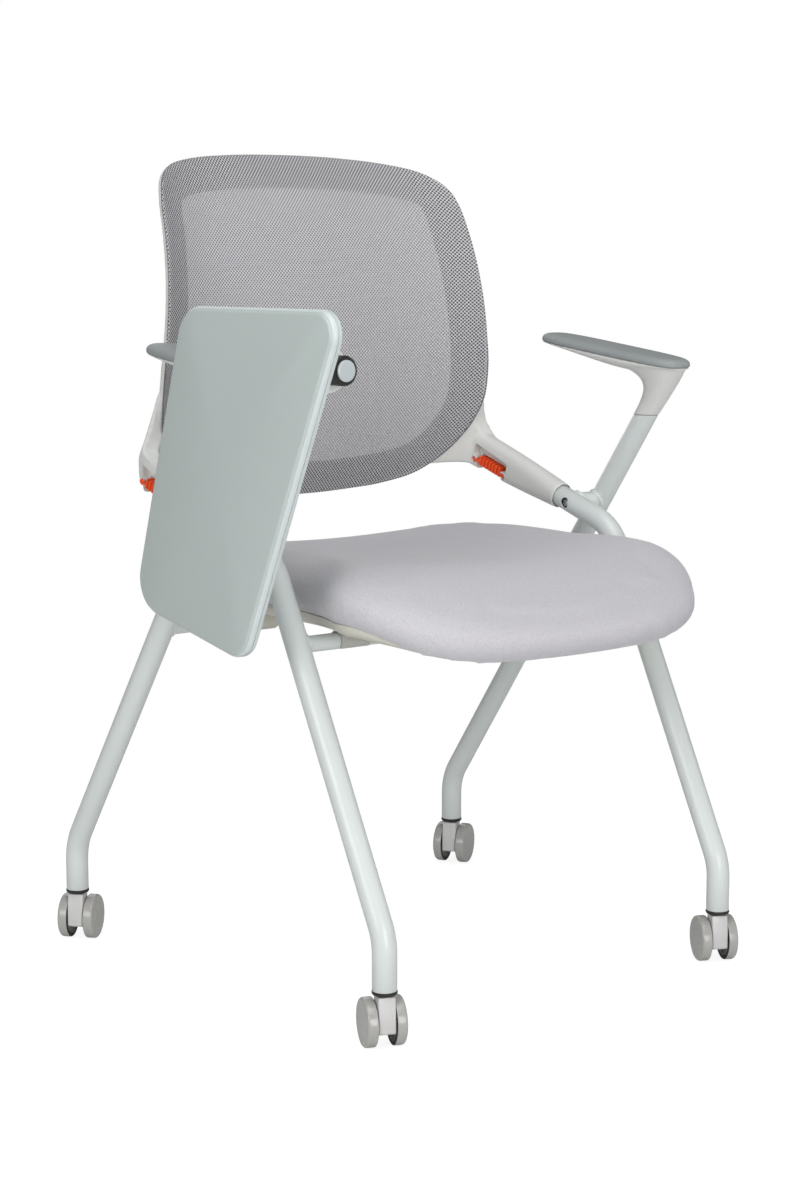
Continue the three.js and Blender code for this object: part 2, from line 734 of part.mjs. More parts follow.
// Elastomer spring: a ribbed block held by a bead at each end
function flexSpring() {
  const block = (along0, along1, up0, up1, halfWidth) => solid(prism([
    slotPoint(along0, up0), slotPoint(along1, up0), slotPoint(along1, up1), slotPoint(along0, up1),
  ], 'x', kneeX - halfWidth, kneeX + halfWidth));
  const inset = springCoreInset;
  let spring = block(-springHalfLength, springHalfLength, inset - springBottom, springTop - inset,
    springHalfWidth - inset);
  spring = spring.add(block(-beadOffset, beadOffset, -neckHalfHeight, neckHalfHeight, springHalfWidth));
  const pitch = (2 * springHalfLength - springRibThickness) / (springRibCount - 1);
  for (let k = 0; k < springRibCount; k += 1) {
    const start = k * pitch - springHalfLength;
    spring = spring.add(block(start, start + springRibThickness, -springBottom, springTop, springHalfWidth));
  }
  for (const side of [-1, 1]) {
    const centre = slotPoint(side * beadOffset, 0);
    const bead = bar(V(kneeX - springHalfWidth, centre.x, centre.y), V(kneeX + springHalfWidth, centre.x, centre.y),
      beadRadius, smallSides);
    spring = spring.add(solid(bead));
  }
  return shell(spring);
}

addPair('flex_spring', flexSpring(), orangeElastomer);

// Seat outline: shares of the half width, and of the depth from rear to front
const seatOutlineShares = [
  [0, 0], [0.42, 0.002], [0.68, 0.02], [0.82, 0.09], [0.872, 0.22], [0.885, 0.4], [0.892, 0.56],
  [0.925, 0.64], [0.975, 0.72], [0.94, 0.8], [0.85, 0.87], [0.73, 0.93], [0.52, 0.975], [0.27, 0.995], [0, 1],
];
const seatDepth = seatRearY - seatFrontY;
const seatMiddleY = (seatRearY + seatFrontY) / 2;
const seatOutlineCount = 40;
const seatCurve = new THREE.CatmullRomCurve3([
  ...seatOutlineShares.map(([x, y]) => V(x * seatHalfWidth, seatRearY - y * seatDepth, 0)),
  ...seatOutlineShares.slice(1, -1).reverse().map(([x, y]) => V(-x * seatHalfWidth, seatRearY - y * seatDepth, 0)),
], true);
const seatOutlinePoints = seatCurve.getSpacedPoints(seatOutlineCount).slice(0, -1);
function seatOutline(inset) {
  return seatOutlinePoints.map((p, k) => {
    const before = seatOutlinePoints.at(k - 1);
    const after = seatOutlinePoints[(k + 1) % seatOutlineCount];
    const along = after.clone().sub(before).normalize();
    const inward = typeof inset === 'function' ? inset(p.y) : inset;
    return P(p.x + along.y * inward, p.y - along.x * inward);
  });
}

// Height of the fabric's seam, lower toward the front edge
const frontShare = (y, length) => THREE.MathUtils.smoothstep(seatFrontY + length - y, 0, length);
const seamHeight = (y) => THREE.MathUtils.lerp(seamZ, seamFrontZ, frontShare(y, seamDropLength));
const panHeight = (y) => THREE.MathUtils.lerp(panBottomZ, panFrontBottomZ, frontShare(y, seamDropLength));

// Height of the sitting surface: dished across, dropping at the rear and over the front edge
function seatSurface(x, y) {
  const across = Math.abs(x) / seatHalfWidth;
  const rear = THREE.MathUtils.smoothstep(y, seatMiddleY, seatRearY);
  return seatTopZ - seatDish * (1 - across ** 2) - seatRearDrop * rear ** 2
    - seatFrontDrop * frontShare(y, seatWaterfall + seatCornerWaterfall * across ** 2) ** 1.5;
}

// Rings drawn in toward the seat's middle, each point at its own height
function innerRings(rim, shares, height) {
  return shares.map((share) => rim.map((p) => {
    const x = p.x * share;
    const y = seatMiddleY + (p.y - seatMiddleY) * share;
    return V(x, y, height(x, y));
  }));
}

// Cushion: tucked under at the seam, rounded over the edge and filled to a soft crown
const cushionSideSteps = 6;
const cushionCrownShares = [0.84, 0.58, 0.28];
const cushionBaseShares = [0.3, 0.7];
const seamAngle = -Math.PI / 3;
function cushion() {
  const rimAt = (inset, height) => seatOutline(inset).map((p) => V(p.x, p.y, height(p.x, p.y)));
  const base = (x, y) => seamHeight(y);
  const sides = [];
  for (let k = 0; k <= cushionSideSteps; k += 1) {
    const angle = THREE.MathUtils.lerp(seamAngle, Math.PI / 2, k / cushionSideSteps);
    const roll = angle < 0 ? cushionUnderTuck / (1 - Math.cos(seamAngle)) : cushionEdgeRoll;
    const rise = (Math.sin(angle) - Math.sin(seamAngle)) / (1 - Math.sin(seamAngle));
    sides.push(rimAt(roll * (1 - Math.cos(angle)), (x, y) => THREE.MathUtils.lerp(
      base(x, y), seatSurface(x, y), rise ** cushionFullness,
    )));
  }
  return loft([
    ...innerRings(sides[0], cushionBaseShares, base),
    ...sides,
    ...innerRings(sides.at(-1), cushionCrownShares, seatSurface),
  ]);
}

const seatHinge = legPointAt(rearCorners, crossTubeZ);
const cushionGeometry = cushion();
const cushionClearance = solid(cushionGeometry).translate([0, 0, -fitGap]);
add('seat_cushion', cushionGeometry, seatFabric);

// Plywood board that the foam is glued to
const boardTopZ = seamZ - fitGap;
const boardFrontY = seatFrontY + 1.2 * seamDropLength;
function seatBoard() {
  const outline = seatOutline(boardInset).filter((p) => p.y > boardFrontY);
  return prism(outline, 'z', boardTopZ - boardThickness, boardTopZ);
}
add('seat_board', shell(solid(seatBoard()).subtract(cushionClearance)), plywood);

// Pan: a thin tray under the cushion whose rim stands at the seam, with posts that carry the board
const panWallSteps = 3;
const panTurn = 26;
const panWall = 3;
const panFillShares = [0.5];
const panRimTrim = 1;
const panPostRadius = 9;
const panPostXShare = 0.5;
const panPostYShares = [0.21, 0.68];
function panTray(shrink, rimRise) {
  const floorAt = (x, y) => panHeight(y) + shrink;
  const rimAt = (x, y) => seamHeight(y) + rimRise;
  const wall = [];
  for (let k = 0; k <= panWallSteps; k += 1) {
    const angle = (k / panWallSteps) * (Math.PI / 2);
    const turn = shrink + panTurn * (1 - Math.sin(angle));
    const inset = (y) => panInset + panFrontInset * frontShare(y, seamDropLength) + turn;
    wall.push(seatOutline(inset).map((p) => V(p.x, p.y, THREE.MathUtils.lerp(
      floorAt(p.x, p.y), rimAt(p.x, p.y), 1 - Math.cos(angle),
    ))));
  }
  return solid(loft([
    ...innerRings(wall[0], panFillShares, floorAt),
    ...wall,
    ...innerRings(wall.at(-1), panFillShares.toReversed(), rimAt),
  ]));
}
function seatPan() {
  let pan = panTray(0, panRimTrim).subtract(panTray(panWall, 2 * panWall)).subtract(cushionClearance);
  for (const yShare of panPostYShares) {
    for (const xShare of [-panPostXShare, panPostXShare]) {
      const [x, y] = [xShare * seatHalfWidth, seatRearY - yShare * seatDepth];
      const post = bar(V(x, y, panBottomZ + panWall / 2), V(x, y, boardTopZ - boardThickness - fitGap),
        panPostRadius, smallSides);
      pan = pan.add(solid(post));
    }
  }
  return shell(pan);
}
add('seat_pan', seatPan(), panMoulding);

// Hinge block: hangs under the pan and turns on the rear cross tube
function hingeBlock() {
  const top = panBottomZ - fitGap;
  const section = new THREE.Shape();
  section.moveTo(seatHinge.y + hingeBlockRadius, top);
  section.lineTo(seatHinge.y - hingeBlockRadius, top);
  section.lineTo(seatHinge.y - hingeBlockRadius, crossTubeZ);
  section.absarc(seatHinge.y, crossTubeZ, hingeBlockRadius, Math.PI, 2 * Math.PI, false);
  const hole = new THREE.Path();
  hole.absarc(seatHinge.y, crossTubeZ, crossTubeDiameter / 2 + fitGap, 0, 2 * Math.PI, true);
  section.holes.push(hole);
  return prism(section, 'x', hingeBlockX - hingeBlockHalfX, hingeBlockX + hingeBlockHalfX);
}
addPair('seat_hinge_block', hingeBlock(), panMoulding);

// Rubber sleeve clipped over the front cross tube, on which the pan lands
function restSleeve() {
  const { y } = legPointAt(frontCorners, crossTubeZ);
  const inner = crossTubeDiameter / 2 + fitGap;
  const mouth = Math.PI / 4;
  const section = new THREE.Shape();
  section.absarc(y, crossTubeZ, inner + restSleeveWall, mouth - Math.PI / 2, 1.5 * Math.PI - mouth, false);
  section.absarc(y, crossTubeZ, inner, 1.5 * Math.PI - mouth, mouth - Math.PI / 2, true);
  return prism(section, 'x', restSleeveX, restSleeveX + restSleeveLength);
}
addPair('seat_rest', restSleeve(), paleRubber);

// Armrest: superellipse outline shared by the pad and the tray under it
const padPower = 3.6;
const padSides = 24;
const padHalfWidthAt = (along) => padHalfWidth * (1 - Math.abs(along / padHalfLength) ** padPower) ** (1 / padPower);

// Pad rings as shares: inset of the edge against height
const padRingShares = [[0, 0], [0, 0.35], [0.12, 0.66], [0.34, 0.88], [0.75, 1]];
const padEdgeRound = 9;
function armPad() {
  return loft(padRingShares.map(([inset, rise]) => superRing(
    V(0, 0, fitGap + rise * padHeight), V(1, 0, 0), V(0, 1, 0),
    padHalfWidth - inset * padEdgeRound, padHalfLength - inset * padEdgeRound, padPower, padSides,
  )));
}

// Tray under the pad, deepest at the post and thinning to the rear tip
const trayStationShares = [-0.995, -0.96, -0.88, -0.7, -0.4, 0, 0.4, 0.75, 0.92, 0.995];
const trayArcSteps = 8;
const traySidePower = 0.8;
const trayTipFill = 0.2;
function armTray(grow) {
  return loft(trayStationShares.map((share) => {
    const along = share * (padHalfLength + grow);
    const half = padHalfWidthAt(share * padHalfLength) + grow;
    const fore = THREE.MathUtils.smoothstep(share, -1, trayDeepestShare);
    const aft = THREE.MathUtils.smoothstep(-share, -1, -trayDeepestShare);
    const depth = trayDepthTip + (trayDepth - trayDepthTip) * Math.min(fore, aft) + grow;
    const taper = Math.min(1, half / padHalfWidth + trayTipFill);
    return Array.from({ length: trayArcSteps + 1 }, (_, k) => {
      const angle = (Math.PI * k) / trayArcSteps;
      return V(half * Math.cos(angle), along, -depth * taper * Math.sin(angle) ** traySidePower);
    });
  }));
}

// Post: leaves the tube at its own size and flares forward and sideways into the tray
const postStations = 6;
const postFrontShare = 0.985;
const postRearShare = 0.18;
const postTopWidthShare = 0.8;
const postFlarePower = 4;
const postSpreadPower = 2.2;
const postPower = 2.2;
function armPost(grow) {
  const seamAt = (y) => padSeamZ + (y - padCentreY) * Math.tan(padTilt);
  const topFrontY = padCentreY - postFrontShare * padHalfLength;
  const topRearY = padCentreY - postRearShare * padHalfLength;
  const topZ = seamAt(topFrontY) - fitGap;
  const bottomHalfY = tubeRadius / armRun.z;
  const rings = Array.from({ length: postStations + 1 }, (_, k) => {
    const share = k / postStations;
    const flare = share ** postFlarePower;
    const spread = share ** postSpreadPower;
    const z = THREE.MathUtils.lerp(armTubeTopZ + fitGap, topZ, share);
    const line = legPointAt(rearCorners, z);
    const front = THREE.MathUtils.lerp(armTubeTopY - bottomHalfY, topFrontY, share);
    const rear = THREE.MathUtils.lerp(line.y + bottomHalfY, topRearY, flare);
    const centre = V(line.x - padInboard * spread, (front + rear) / 2, z);
    const halfX = THREE.MathUtils.lerp(tubeRadius, postTopWidthShare * padHalfWidth, spread) + grow;
    const halfY = (rear - front) / 2 + grow;
    return superRing(centre, V(1, 0, 0), V(0, 1, 0), halfX, halfY, postPower, roundSides);
  });
  return loft(rings);
}

const padPlace = new THREE.Matrix4()
  .makeRotationX(padTilt)
  .setPosition(armTubeTopX - padInboard, padCentreY, padSeamZ);
function armSupport(grow = 0) {
  const tray = armTray(grow).applyMatrix4(padPlace);
  const spigotEnd = legPointAt(rearCorners, armTubeTopZ - 2 * tubeDiameter);
  const spigotStart = legPointAt(rearCorners, armTubeTopZ + tubeRadius);
  const spigot = bar(spigotStart, spigotEnd, boreRadius - fitGap, tubeSides);
  return solid(armPost(grow)).add(solid(tray)).add(solid(spigot));
}
addPair('arm_support', shell(armSupport()), paleMoulding);
addPair('arm_pad', armPad().applyMatrix4(padPlace), padSkin);

// Bracket on the right arm that carries the barrel of the tablet hub
const barrelFrontY = hubY + hubLength / 2 + fitGap;
// Stations as shares: way to the barrel, rise to it, half width and half height of the barrel's radius
const bracketShares = [
  [0, 0, 0.55, 0.64], [0.3, 0.28, 0.64, 0.54], [0.54, 0.44, 0.68, 0.48], [0.76, 0.72, 0.68, 0.55], [1, 1, 0.73, 0.59],
];
const bracketRootY = armTubeTopY - bracketRootInset;
const bracketRootZ = armTubeTopZ + bracketRootRise;
const bracketPower = 3;
const bracketEndShare = 0.6;
const bracketDropShare = 0.45;
function tabletBracket() {
  const barrelRearY = barrelFrontY + barrelLength;
  const endY = barrelFrontY + bracketEndShare * barrelLength;
  const endZ = hubZ - bracketDropShare * barrelRadius;
  const arm = loft(bracketShares.map(([way, rise, wide, tall]) => superRing(
    V(hubX, THREE.MathUtils.lerp(bracketRootY, endY, way), THREE.MathUtils.lerp(bracketRootZ, endZ, rise)),
    V(1, 0, 0), V(0, 0, 1), wide * barrelRadius, tall * barrelRadius, bracketPower, tubeSides,
  )));
  const section = new THREE.Shape().absarc(hubX, hubZ, barrelRadius, 0, 2 * Math.PI);
  const barrel = prism(section, 'y', barrelFrontY, barrelRearY, barrelBevel);
  const bore = bar(V(hubX, barrelFrontY - cutOverrun, hubZ), V(hubX, barrelRearY - 2 * fitGap - tubeWall, hubZ),
    hubPinDiameter / 2 + fitGap);
  const support = solid(mirrored(shell(armSupport(fitGap))));
  return shell(solid(arm).subtract(support).add(solid(barrel)).subtract(solid(bore)));
}
add('tablet_bracket', tabletBracket(), paleMoulding);

// Hub: turns on the barrel's pin and carries the swivel stub of the tablet
const hubNeckStart = 0.95;
const hubNeckPower = 4;
const swivelDiscX = tabletInnerX + fitGap + swivelDiscThickness;
const hubFaceX = swivelDiscX + fitGap;
function tabletHub() {
  const front = hubY - hubLength / 2;
  const rear = hubY + hubLength / 2;
  const section = new THREE.Shape().absarc(hubX, hubZ, hubRadius, 0, 2 * Math.PI);
  const drum = prism(section, 'y', front, rear, hubBevel);
  const neckStations = [0, 0.5, 1];
  const neck = loft(neckStations.map((share) => {
    const crest = THREE.MathUtils.lerp(hubNeckStart * hubRadius, hubCrest, share);
    const foot = THREE.MathUtils.lerp(hubNeckStart * hubRadius, hubFoot, share);
    return superRing(
      V(THREE.MathUtils.lerp(hubX, hubFaceX, share), hubY, hubZ + (crest - foot) / 2), V(0, 1, 0), V(0, 0, 1),
      hubLength / 2 - fitGap, (crest + foot) / 2, hubNeckPower, roundSides,
    );
  }));
  const stub = bar(V(hubFaceX + cutOverrun, hubY, hubZ), V(tabletInnerX + 2 * fitGap, hubY, hubZ), swivelStubRadius);
  const bore = bar(V(hubX, front - cutOverrun, hubZ), V(hubX, rear + cutOverrun, hubZ),
    hubPinDiameter / 2 + fitGap);
  return shell(solid(drum).add(solid(neck)).add(solid(stub)).subtract(solid(bore)));
}
add('tablet_hub', tabletHub(), blackMoulding);
add('hub_pin', bar(V(hubX, hubY - hubLength / 2, hubZ),
  V(hubX, barrelFrontY + barrelLength - tubeWall - 4 * fitGap, hubZ), hubPinDiameter / 2), bareSteel);

// The cap is revolved about Y, its flat side against the hub
const capProfileShares = [[0, 0], [1, 0], [1, 0.5], [0.9, 0.9], [0.5, 1], [0, 1]];
function hubCap() {
  const profile = capProfileShares.map(([out, up]) => P(out * hubCapRadius, up * hubCapHeight));
  const cap = closedLathe(profile, roundSides).rotateX(Math.PI);
  return cap.translate(hubX, hubY - hubLength / 2 - fitGap, hubZ);
}
add('hub_cap', hubCap(), paleMoulding);

// Swivel disc screwed to the tablet
function swivelDisc() {
  const section = new THREE.Shape().absarc(hubY, hubZ, swivelDiscRadius, 0, 2 * Math.PI);
  const hole = new THREE.Path().absarc(hubY, hubZ, swivelStubRadius + fitGap, 0, 2 * Math.PI, true);
  section.holes.push(hole);
  return prism(section, 'x', tabletInnerX + fitGap, swivelDiscX);
}
add('tablet_swivel_disc', swivelDisc(), blackMoulding);

// Tablet corners in side view: rear top, front top, front bottom, rear bottom
const tabletCorners = [
  P(hubY + tabletTopRear, hubZ + tabletRise),
  P(hubY - tabletTopFront, hubZ + tabletRise),
  P(hubY + tabletFrontFootReach, hubZ - tabletFrontFootDrop),
  P(hubY + tabletRearFootReach, hubZ - tabletRearFootDrop),
];
const cornerArcSteps = 5;
function tabletOutline(inset) {
  const points = [];
  for (let k = 0; k < tabletCorners.length; k += 1) {
    const here = tabletCorners[k];
    const back = tabletCorners.at(k - 1).clone().sub(here).normalize();
    const ahead = tabletCorners[(k + 1) % tabletCorners.length].clone().sub(here).normalize();
    const half = Math.acos(back.dot(ahead)) / 2;
    const middle = back.clone().add(ahead).normalize();
    const centre = here.clone().addScaledVector(middle, tabletCorner / Math.sin(half));
    const radius = tabletCorner - inset;
    const sweep = Math.PI - 2 * half;
    const towardCorner = Math.atan2(-middle.y, -middle.x);
    for (let s = 0; s <= cornerArcSteps; s += 1) {
      const angle = towardCorner + sweep * (0.5 - s / cornerArcSteps) * -1;
      points.push(P(centre.x + radius * Math.cos(angle), centre.y + radius * Math.sin(angle)));
    }
  }
  return points;
}

// Tablet rings as shares of its thickness and of the bevel
function writingTablet() {
  const outerX = tabletInnerX - tabletThickness;
  const ring = (x, inset) => tabletOutline(inset).map((p) => V(x, p.x, p.y));
  return loft([
    ring(tabletInnerX, tabletUnderRound),
    ring(tabletInnerX - tabletUnderRound, 0),
    ring(outerX + tabletFaceBevelDepth, 0),
    ring(outerX, tabletFaceBevel),
  ]);
}
add('writing_tablet', writingTablet(), tabletSkin);

// Caster: collar in the tube, swivelling hood with stem and axle, two wheels
const wheelRadius = wheelDiameter / 2;
const axleRadius = axleDiameter / 2;
const stemRadius = stemDiameter / 2;
const rimInnerShare = 0.8;
const webOuterShare = 0.76;
const hubOuterShare = 0.34;
const wheelDishShare = 0.4;

function wheel() {
  const half = wheelWidth / 2;
  const webHeight = half - wheelDishShare * wheelWidth;
  const profile = [
    P(0, half), P(wheelRadius - rimRound, half), P(wheelRadius, half - rimRound), P(wheelRadius, -half),
    P(wheelRadius * rimInnerShare, -half), P(wheelRadius * webOuterShare, webHeight),
    P(wheelRadius * hubOuterShare, webHeight), P(wheelRadius * hubOuterShare, -half),
    P(axleRadius + fitGap, -half), P(axleRadius + fitGap, half - rimRound), P(0, half - rimRound),
  ];
  return shell(solid(closedLathe(profile, roundSides)));
}

function hood() {
  const front = -hoodWidth / 2;
  const axleZ = wheelRadius;
  const bossRadius = axleZ - hoodBottomZ;
  const section = new THREE.Shape();
  section.moveTo(front, hoodBottomZ + hoodCorner);
  section.absarc(front + hoodCorner, hoodBottomZ + hoodCorner, hoodCorner, Math.PI, 1.5 * Math.PI, false);
  section.absarc(casterTrail, axleZ, bossRadius, -Math.PI / 2, Math.PI / 3, false);
  section.lineTo(-front, hoodTopZ - hoodCorner);
  section.lineTo(-front, hoodTopZ);
  section.lineTo(front, hoodTopZ);
  const body = solid(prism(section, 'x', front, -front, hoodBevel, roundSides / 4));
  const stemBore = bar(V(0, 0, stemBottomZ - fitGap), V(0, 0, hoodTopZ + cutOverrun), stemRadius + fitGap, tubeSides);
  const axleBore = bar(V(-hoodWidth, casterTrail, axleZ), V(hoodWidth, casterTrail, axleZ),
    axleRadius + fitGap, tubeSides);
  return shell(body.subtract(solid(stemBore)).subtract(solid(axleBore)));
}

function stem() {
  const flangeBottom = hoodTopZ + fitGap;
  const flangeTop = flangeBottom + stemFlangeHeight;
  const flangeRadius = stemFlangeDiameter / 2;
  const profile = [
    P(0, stemBottomZ), P(stemRadius, stemBottomZ), P(stemRadius, flangeBottom), P(flangeRadius, flangeBottom),
    P(flangeRadius, flangeTop), P(stemRadius, flangeTop), P(stemRadius, stemTopZ), P(0, stemTopZ),
  ];
  return closedLathe(profile, tubeSides).rotateX(Math.PI / 2);
}

function collar() {
  const bottom = legEndZ - fitGap - collarHeight;
  const top = legEndZ - fitGap;
  const plugRadius = boreRadius - fitGap;
  const flangeRadius = collarDiameter / 2;
  const holeRadius = stemRadius + fitGap;
  const chamfer = collarHeight / 3;
  const profile = [
    P(holeRadius, bottom), P(flangeRadius - chamfer, bottom), P(flangeRadius, bottom + chamfer),
    P(flangeRadius, top), P(plugRadius, top), P(plugRadius, top + collarPlugHeight),
    P(holeRadius, top + collarPlugHeight), P(holeRadius, bottom),
  ];
  return closedLathe(profile, roundSides).rotateX(Math.PI / 2);
}

const casterPlaces = {
  front_left: V(frontHalfTrack, frontLegY, 0),
  front_right: V(-frontHalfTrack, frontLegY, 0),
  rear_left: V(rearHalfTrack, rearLegY, 0),
  rear_right: V(-rearHalfTrack, rearLegY, 0),
};
for (const [corner, place] of Object.entries(casterPlaces)) {
  const seat = new THREE.Group();
  seat.position.copy(place);
  chair.add(seat);
  add(`caster_collar_${corner}`, collar(), blackMoulding, seat);
  const caster = new THREE.Group();
  caster.rotation.z = THREE.MathUtils.degToRad(casterYaw[corner]);
  seat.add(caster);
  add(`caster_hood_${corner}`, hood(), casterMoulding, caster);
  add(`caster_stem_${corner}`, stem(), bareSteel, caster);
  const axle = new THREE.Group();
  axle.position.set(0, casterTrail, wheelRadius);
  caster.add(axle);
  const axleHalf = casterWidth / 2 - axleRecess;
  add(`caster_axle_${corner}`, bar(V(-axleHalf, 0, 0), V(axleHalf, 0, 0), axleRadius, tubeSides), bareSteel, axle);
  for (const side of [-1, 1]) {
    const rim = wheel().rotateZ((-side * Math.PI) / 2).translate(side * (casterWidth - wheelWidth) / 2, 0, 0);
    add(`caster_wheel_${corner}_${side < 0 ? 'a' : 'b'}`, rim, casterMoulding, axle);
  }
}

// The origin lies on the floor, under the middle of the chair's box
const reach = new THREE.Box3().setFromObject(chair, true);
const middle = reach.getCenter(V(0, 0, 0));
chair.position.set(-middle.x, -middle.y, -reach.min.z);
const part = new THREE.Group();
part.add(chair);

export default part;
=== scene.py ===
"""Nesting chair with a flip-up seat, a sprung net back, arms, casters and a writing tablet."""
import math

import bmesh
import bpy
import numpy as np
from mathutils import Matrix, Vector


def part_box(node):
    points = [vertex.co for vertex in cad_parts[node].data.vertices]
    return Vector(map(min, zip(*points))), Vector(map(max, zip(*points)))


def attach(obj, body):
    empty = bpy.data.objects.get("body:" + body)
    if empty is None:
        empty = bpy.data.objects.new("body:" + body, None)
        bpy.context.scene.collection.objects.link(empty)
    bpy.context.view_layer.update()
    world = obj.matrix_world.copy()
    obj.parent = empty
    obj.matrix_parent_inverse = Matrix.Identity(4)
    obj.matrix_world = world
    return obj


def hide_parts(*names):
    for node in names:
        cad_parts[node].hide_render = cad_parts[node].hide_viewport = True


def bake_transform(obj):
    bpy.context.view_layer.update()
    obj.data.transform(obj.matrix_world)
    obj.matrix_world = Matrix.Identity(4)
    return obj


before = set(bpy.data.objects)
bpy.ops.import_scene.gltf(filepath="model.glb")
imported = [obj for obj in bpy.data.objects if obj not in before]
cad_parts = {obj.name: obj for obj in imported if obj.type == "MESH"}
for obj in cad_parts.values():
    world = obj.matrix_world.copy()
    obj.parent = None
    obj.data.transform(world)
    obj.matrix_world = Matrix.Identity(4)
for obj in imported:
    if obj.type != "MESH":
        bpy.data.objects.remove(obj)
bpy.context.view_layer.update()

scene = bpy.context.scene

# Camera, at the photograph's viewpoint: in front of the chair, on the sitter's right.
camera_data = bpy.data.cameras.new("camera")
camera_data.lens = 70.46
camera_data.sensor_width = 36
camera = bpy.data.objects.new("camera", camera_data)
camera.location = (-1.586988, -2.005041, 0.77046)
camera.rotation_euler = (math.radians(81.67), 0, math.radians(-38.27))
scene.collection.objects.link(camera)
scene.camera = camera

# Floor and lights: a pale sweep under broad soft lamps. Seen directly the sky is white, and the floor grows
# white away from the chair, which still throws its soft shadow on it.
scene.view_settings.view_transform = "Standard"


def lamp(name, place, size, watts):
    """A square soft box at place, facing the middle of the chair."""
    data = bpy.data.lights.new(name, "AREA")
    data.size, data.energy = size, watts
    obj = bpy.data.objects.new(name, data)
    obj.location = place
    obj.rotation_euler = (Vector((0, 0, 0.45)) - Vector(place)).to_track_quat("-Z", "Y").to_euler()
    scene.collection.objects.link(obj)


lamp("lamp_top", (-0.6, -0.9, 3.0), 2.0, 36)
lamp("lamp_front", (-1.0, -3.4, 0.9), 1.6, 43)
lamp("lamp_left", (-3.1, -1.2, 1.4), 1.6, 34)
lamp("lamp_right", (2.4, -2.4, 1.5), 1.4, 8)
lamp("lamp_rear", (1.2, 2.8, 1.8), 1.8, 11)


def shader_node(tree, kind, values=(), **settings):
    """A new node with its own settings, and values for its inputs by name or place."""
    node = tree.nodes.new("ShaderNode" + kind)
    for key, value in settings.items():
        setattr(node, key, value)
    for key, value in dict(values).items():
        node.inputs[key].default_value = value
    return node


def seen_by_eye(tree, unseen, seen, goal):
    """Mixes two looks: the second where a ray comes from the camera, also through the net, else the first."""
    pick = shader_node(tree, "MixShader")
    tree.links.new(shader_node(tree, "LightPath").outputs["Is Camera Ray"], pick.inputs[0])
    for source, socket in ((unseen, pick.inputs[1]), (seen, pick.inputs[2])):
        tree.links.new(source.outputs[0], socket)
    tree.links.new(pick.outputs[0], goal.inputs["Surface"])


world = bpy.data.worlds.new("studio")
scene.world = world
world.use_nodes = True
sky = world.node_tree
soft_sky = sky.nodes["Background"]
soft_sky.inputs["Color"].default_value = (0.97, 0.98, 1.0, 1)
soft_sky.inputs["Strength"].default_value = 0.22
white_sky = shader_node(sky, "Background", {"Color": (1, 1, 1, 1)})
seen_by_eye(sky, soft_sky, white_sky, sky.nodes["World Output"])

floor_mesh = bpy.data.meshes.new("floor")
floor_mesh.from_pydata([(-9, -9, 0), (9, -9, 0), (9, 9, 0), (-9, 9, 0)], [], [(0, 1, 2, 3)])
floor = bpy.data.objects.new("floor", floor_mesh)
scene.collection.objects.link(floor)
floor_finish = bpy.data.materials.new("floor")
floor_finish.use_nodes = True
ground = floor_finish.node_tree
matt = shader_node(ground, "BsdfDiffuse", {"Color": (0.8, 0.8, 0.8, 1)})
shown = shader_node(ground, "BsdfDiffuse")
glow = shader_node(ground, "Emission")
away = shader_node(ground, "VectorMath", operation="LENGTH")
ground.links.new(shader_node(ground, "TexCoord").outputs["Object"], away.inputs[0])
for near, far, socket in ((0.86, 1.0, glow.inputs["Strength"]), (0.35, 0.0, shown.inputs["Color"])):
    change = shader_node(ground, "MapRange", {"From Min": 0.5, "From Max": 1.5, "To Min": near, "To Max": far})
    ground.links.new(away.outputs["Value"], change.inputs["Value"])
    ground.links.new(change.outputs[0], socket)
both = shader_node(ground, "AddShader")
ground.links.new(shown.outputs[0], both.inputs[0])
ground.links.new(glow.outputs[0], both.inputs[1])
seen_by_eye(ground, matt, both, ground.nodes["Material Output"])
floor_mesh.materials.append(floor_finish)

# Frame tubes: 25 x 1.6 mm steel tube, bent and powder coated pale grey. Each front leg bends back to carry
# the backrest, and each rear leg runs forward past it to carry the arm.
corners = ("front_left", "front_right", "rear_left", "rear_right")
collar_boxes = [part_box(f"caster_collar_{corner}") for corner in corners]
middle = np.array([sum(low[axis] + high[axis] for low, high in collar_boxes) / 8 for axis in (0, 1)] + [0])
SIDES = (("left", np.array([1, 1, 1])), ("right", np.array([-1, 1, 1])))
CHAIR_X = np.array([1.0, 0, 0])
CHAIR_Z = np.array([0, 0, 1.0])


def screen(red, green, blue):
    """Linear colour of 0-255 screen values: v / 12.92 near black, else ((v + 0.055) / 1.055) to the power 2.4."""
    v = np.array([red, green, blue]) / 255
    return (*np.where(v <= 0.04045, v / 12.92, ((v + 0.055) / 1.055) ** 2.4), 1.0)


